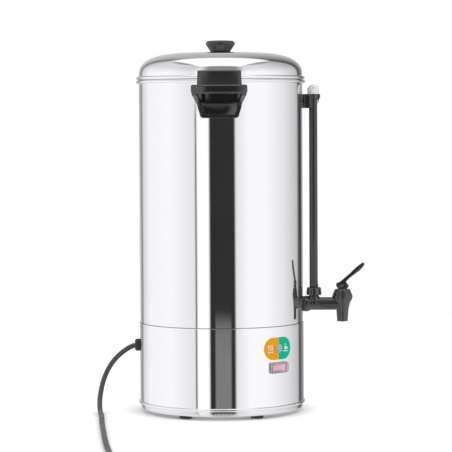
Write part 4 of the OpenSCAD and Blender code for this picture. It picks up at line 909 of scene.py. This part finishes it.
def overhead_box(graph, split):
    """A mask of the softbox over the urn."""
    up = split["Z"]
    tilt_x = graph.math("ABSOLUTE", graph.math("DIVIDE", split["X"], up))
    tilt_y = graph.math("DIVIDE", split["Y"], up)
    wide = graph.math("MULTIPLY", graph.remap(tilt_x, *BOX_SIDE, 1.0, 0.0),
                      graph.remap(tilt_y, *BOX_FRONT))
    deep = graph.math("MULTIPLY", graph.remap(tilt_y, *BOX_BACK, 1.0, 0.0),
                      graph.remap(up, *BOX_ABOVE))
    return graph.math("MULTIPLY", wide, deep)


def node_world():
    """White for the camera, and soft panels round the urn for what it reflects."""
    world = bpy.data.worlds.new("studio")
    bpy.context.scene.world = world
    world.use_nodes = True
    tree = world.node_tree
    tree.nodes.clear()
    graph = Graph(tree)
    ray = graph.add("ShaderNodeTexCoord").outputs["Generated"]
    split = graph.add("ShaderNodeSeparateXYZ", {"Vector": ray}).outputs
    up = split["Z"]
    azimuth = graph.math("ARCTAN2", split["X"], graph.math("MULTIPLY", split["Y"], -1.0))
    walls = wall_levels(graph, azimuth)
    # The table in front of the urn is grey where the doorway is dark
    ahead = turned_from(graph, azimuth, DOORWAY_TURN, 9.5, 12.5)
    down = graph.remap(up, *TABLE_EDGE, 1.0, 0.0)
    room = graph.mix(graph.math("MULTIPLY", ahead, down), walls, grey(0.22))
    # The gap beside the softbox ends below the lid
    near_gap = turned_from(graph, azimuth, GAP_TURN, 2.2, 3.0)
    closed = graph.math("MULTIPLY", near_gap, graph.remap(up, *GAP_END))
    room = graph.mix(closed, room, grey(0.97))
    # Nearer the urn the table is pale, and the walls fade a little towards their tops
    pale = graph.mix(0.6, walls, grey(0.9))
    table = graph.mix(graph.remap(up, *TABLE_NEAR, 1.0, 0.0), room, pale)
    faded = graph.mix(graph.remap(up, *WALL_FADE, 0.0, 0.26), table, grey(0.0))
    # The dark side of the room is wider and softer higher up
    wide = turned_from(graph, azimuth, DOORWAY_TURN, 18, 36)
    high = graph.math("MULTIPLY", wide, graph.remap(up, *DARK_SOFTENS))
    soft = graph.mix(high, faded, grey(0.28))
    # Above the walls the room is dim, apart from the softbox over the urn
    dim = graph.mix(graph.remap(up, *WALL_TOP), soft, grey(0.26))
    studio = graph.mix(overhead_box(graph, split), dim, grey(1.1))
    path = graph.add("ShaderNodeLightPath").outputs
    seen = graph.math("MAXIMUM", path["Is Camera Ray"], path["Is Transmission Ray"])
    light = graph.add("ShaderNodeBackground", {
        "Color": graph.mix(seen, studio, (1.0, 1.0, 1.0, 1.0)), "Strength": 1.0,
    })
    out = graph.add("ShaderNodeOutputWorld")
    tree.links.new(light.outputs[0], out.inputs["Surface"])


def make_floor():
    bm = bmesh.new()
    bmesh.ops.create_circle(bm, cap_ends=True, segments=128, radius=FLOOR_R)
    mesh = bpy.data.meshes.new("floor")
    bm.to_mesh(mesh)
    bm.free()
    floor = bpy.data.objects.new("floor", mesh)
    bpy.context.scene.collection.objects.link(floor)
    floor.visible_glossy = False
    material = bpy.data.materials.new("pale_floor")
    mesh.materials.append(material)
    material.use_nodes = True
    tree = material.node_tree
    tree.nodes.clear()
    graph = Graph(tree)
    path = graph.add("ShaderNodeLightPath").outputs
    diffuse = graph.add("ShaderNodeBsdfDiffuse", {"Color": grey(FLOOR_LEVEL)})
    # Painted shadow: the glow that makes the floor white fades by ambient occlusion where the urn
    # stands over it
    painted_shadow_ao = graph.add("ShaderNodeAmbientOcclusion", {"Distance": PAINTED_SHADOW_REACH}).outputs["AO"]
    strength = graph.math("MULTIPLY", graph.math("POWER", painted_shadow_ao, 1.5), FLOOR_GLOW)
    glow = graph.add("ShaderNodeEmission", {"Color": grey(1.0), "Strength": strength})
    lit = graph.add("ShaderNodeAddShader")
    tree.links.new(diffuse.outputs[0], lit.inputs[0])
    tree.links.new(glow.outputs[0], lit.inputs[1])
    seen = graph.math("MAXIMUM", path["Is Camera Ray"], path["Is Transmission Ray"])
    plain = graph.add("ShaderNodeMixShader", {"Fac": seen})
    tree.links.new(diffuse.outputs[0], plain.inputs[1])
    tree.links.new(lit.outputs[0], plain.inputs[2])
    out = graph.add("ShaderNodeOutputMaterial")
    tree.links.new(plain.outputs[0], out.inputs["Surface"])


def fill_light():
    """A wide soft light from the front that lifts dull colours and isn't mirrored."""
    data = bpy.data.lights.new("fill", "SUN")
    data.energy = FILL_ENERGY
    data.angle = FILL_SPREAD
    fill = bpy.data.objects.new("fill", data)
    bpy.context.scene.collection.objects.link(fill)
    aim = FILL_AIM.to_track_quat("-Z", "Y").to_matrix().to_4x4()
    fill.matrix_world = Matrix.Translation(FILL_AT) @ aim
    fill.visible_glossy = False


node_world()
make_floor()
fill_light()
bpy.context.scene.view_settings.view_transform = "Standard"
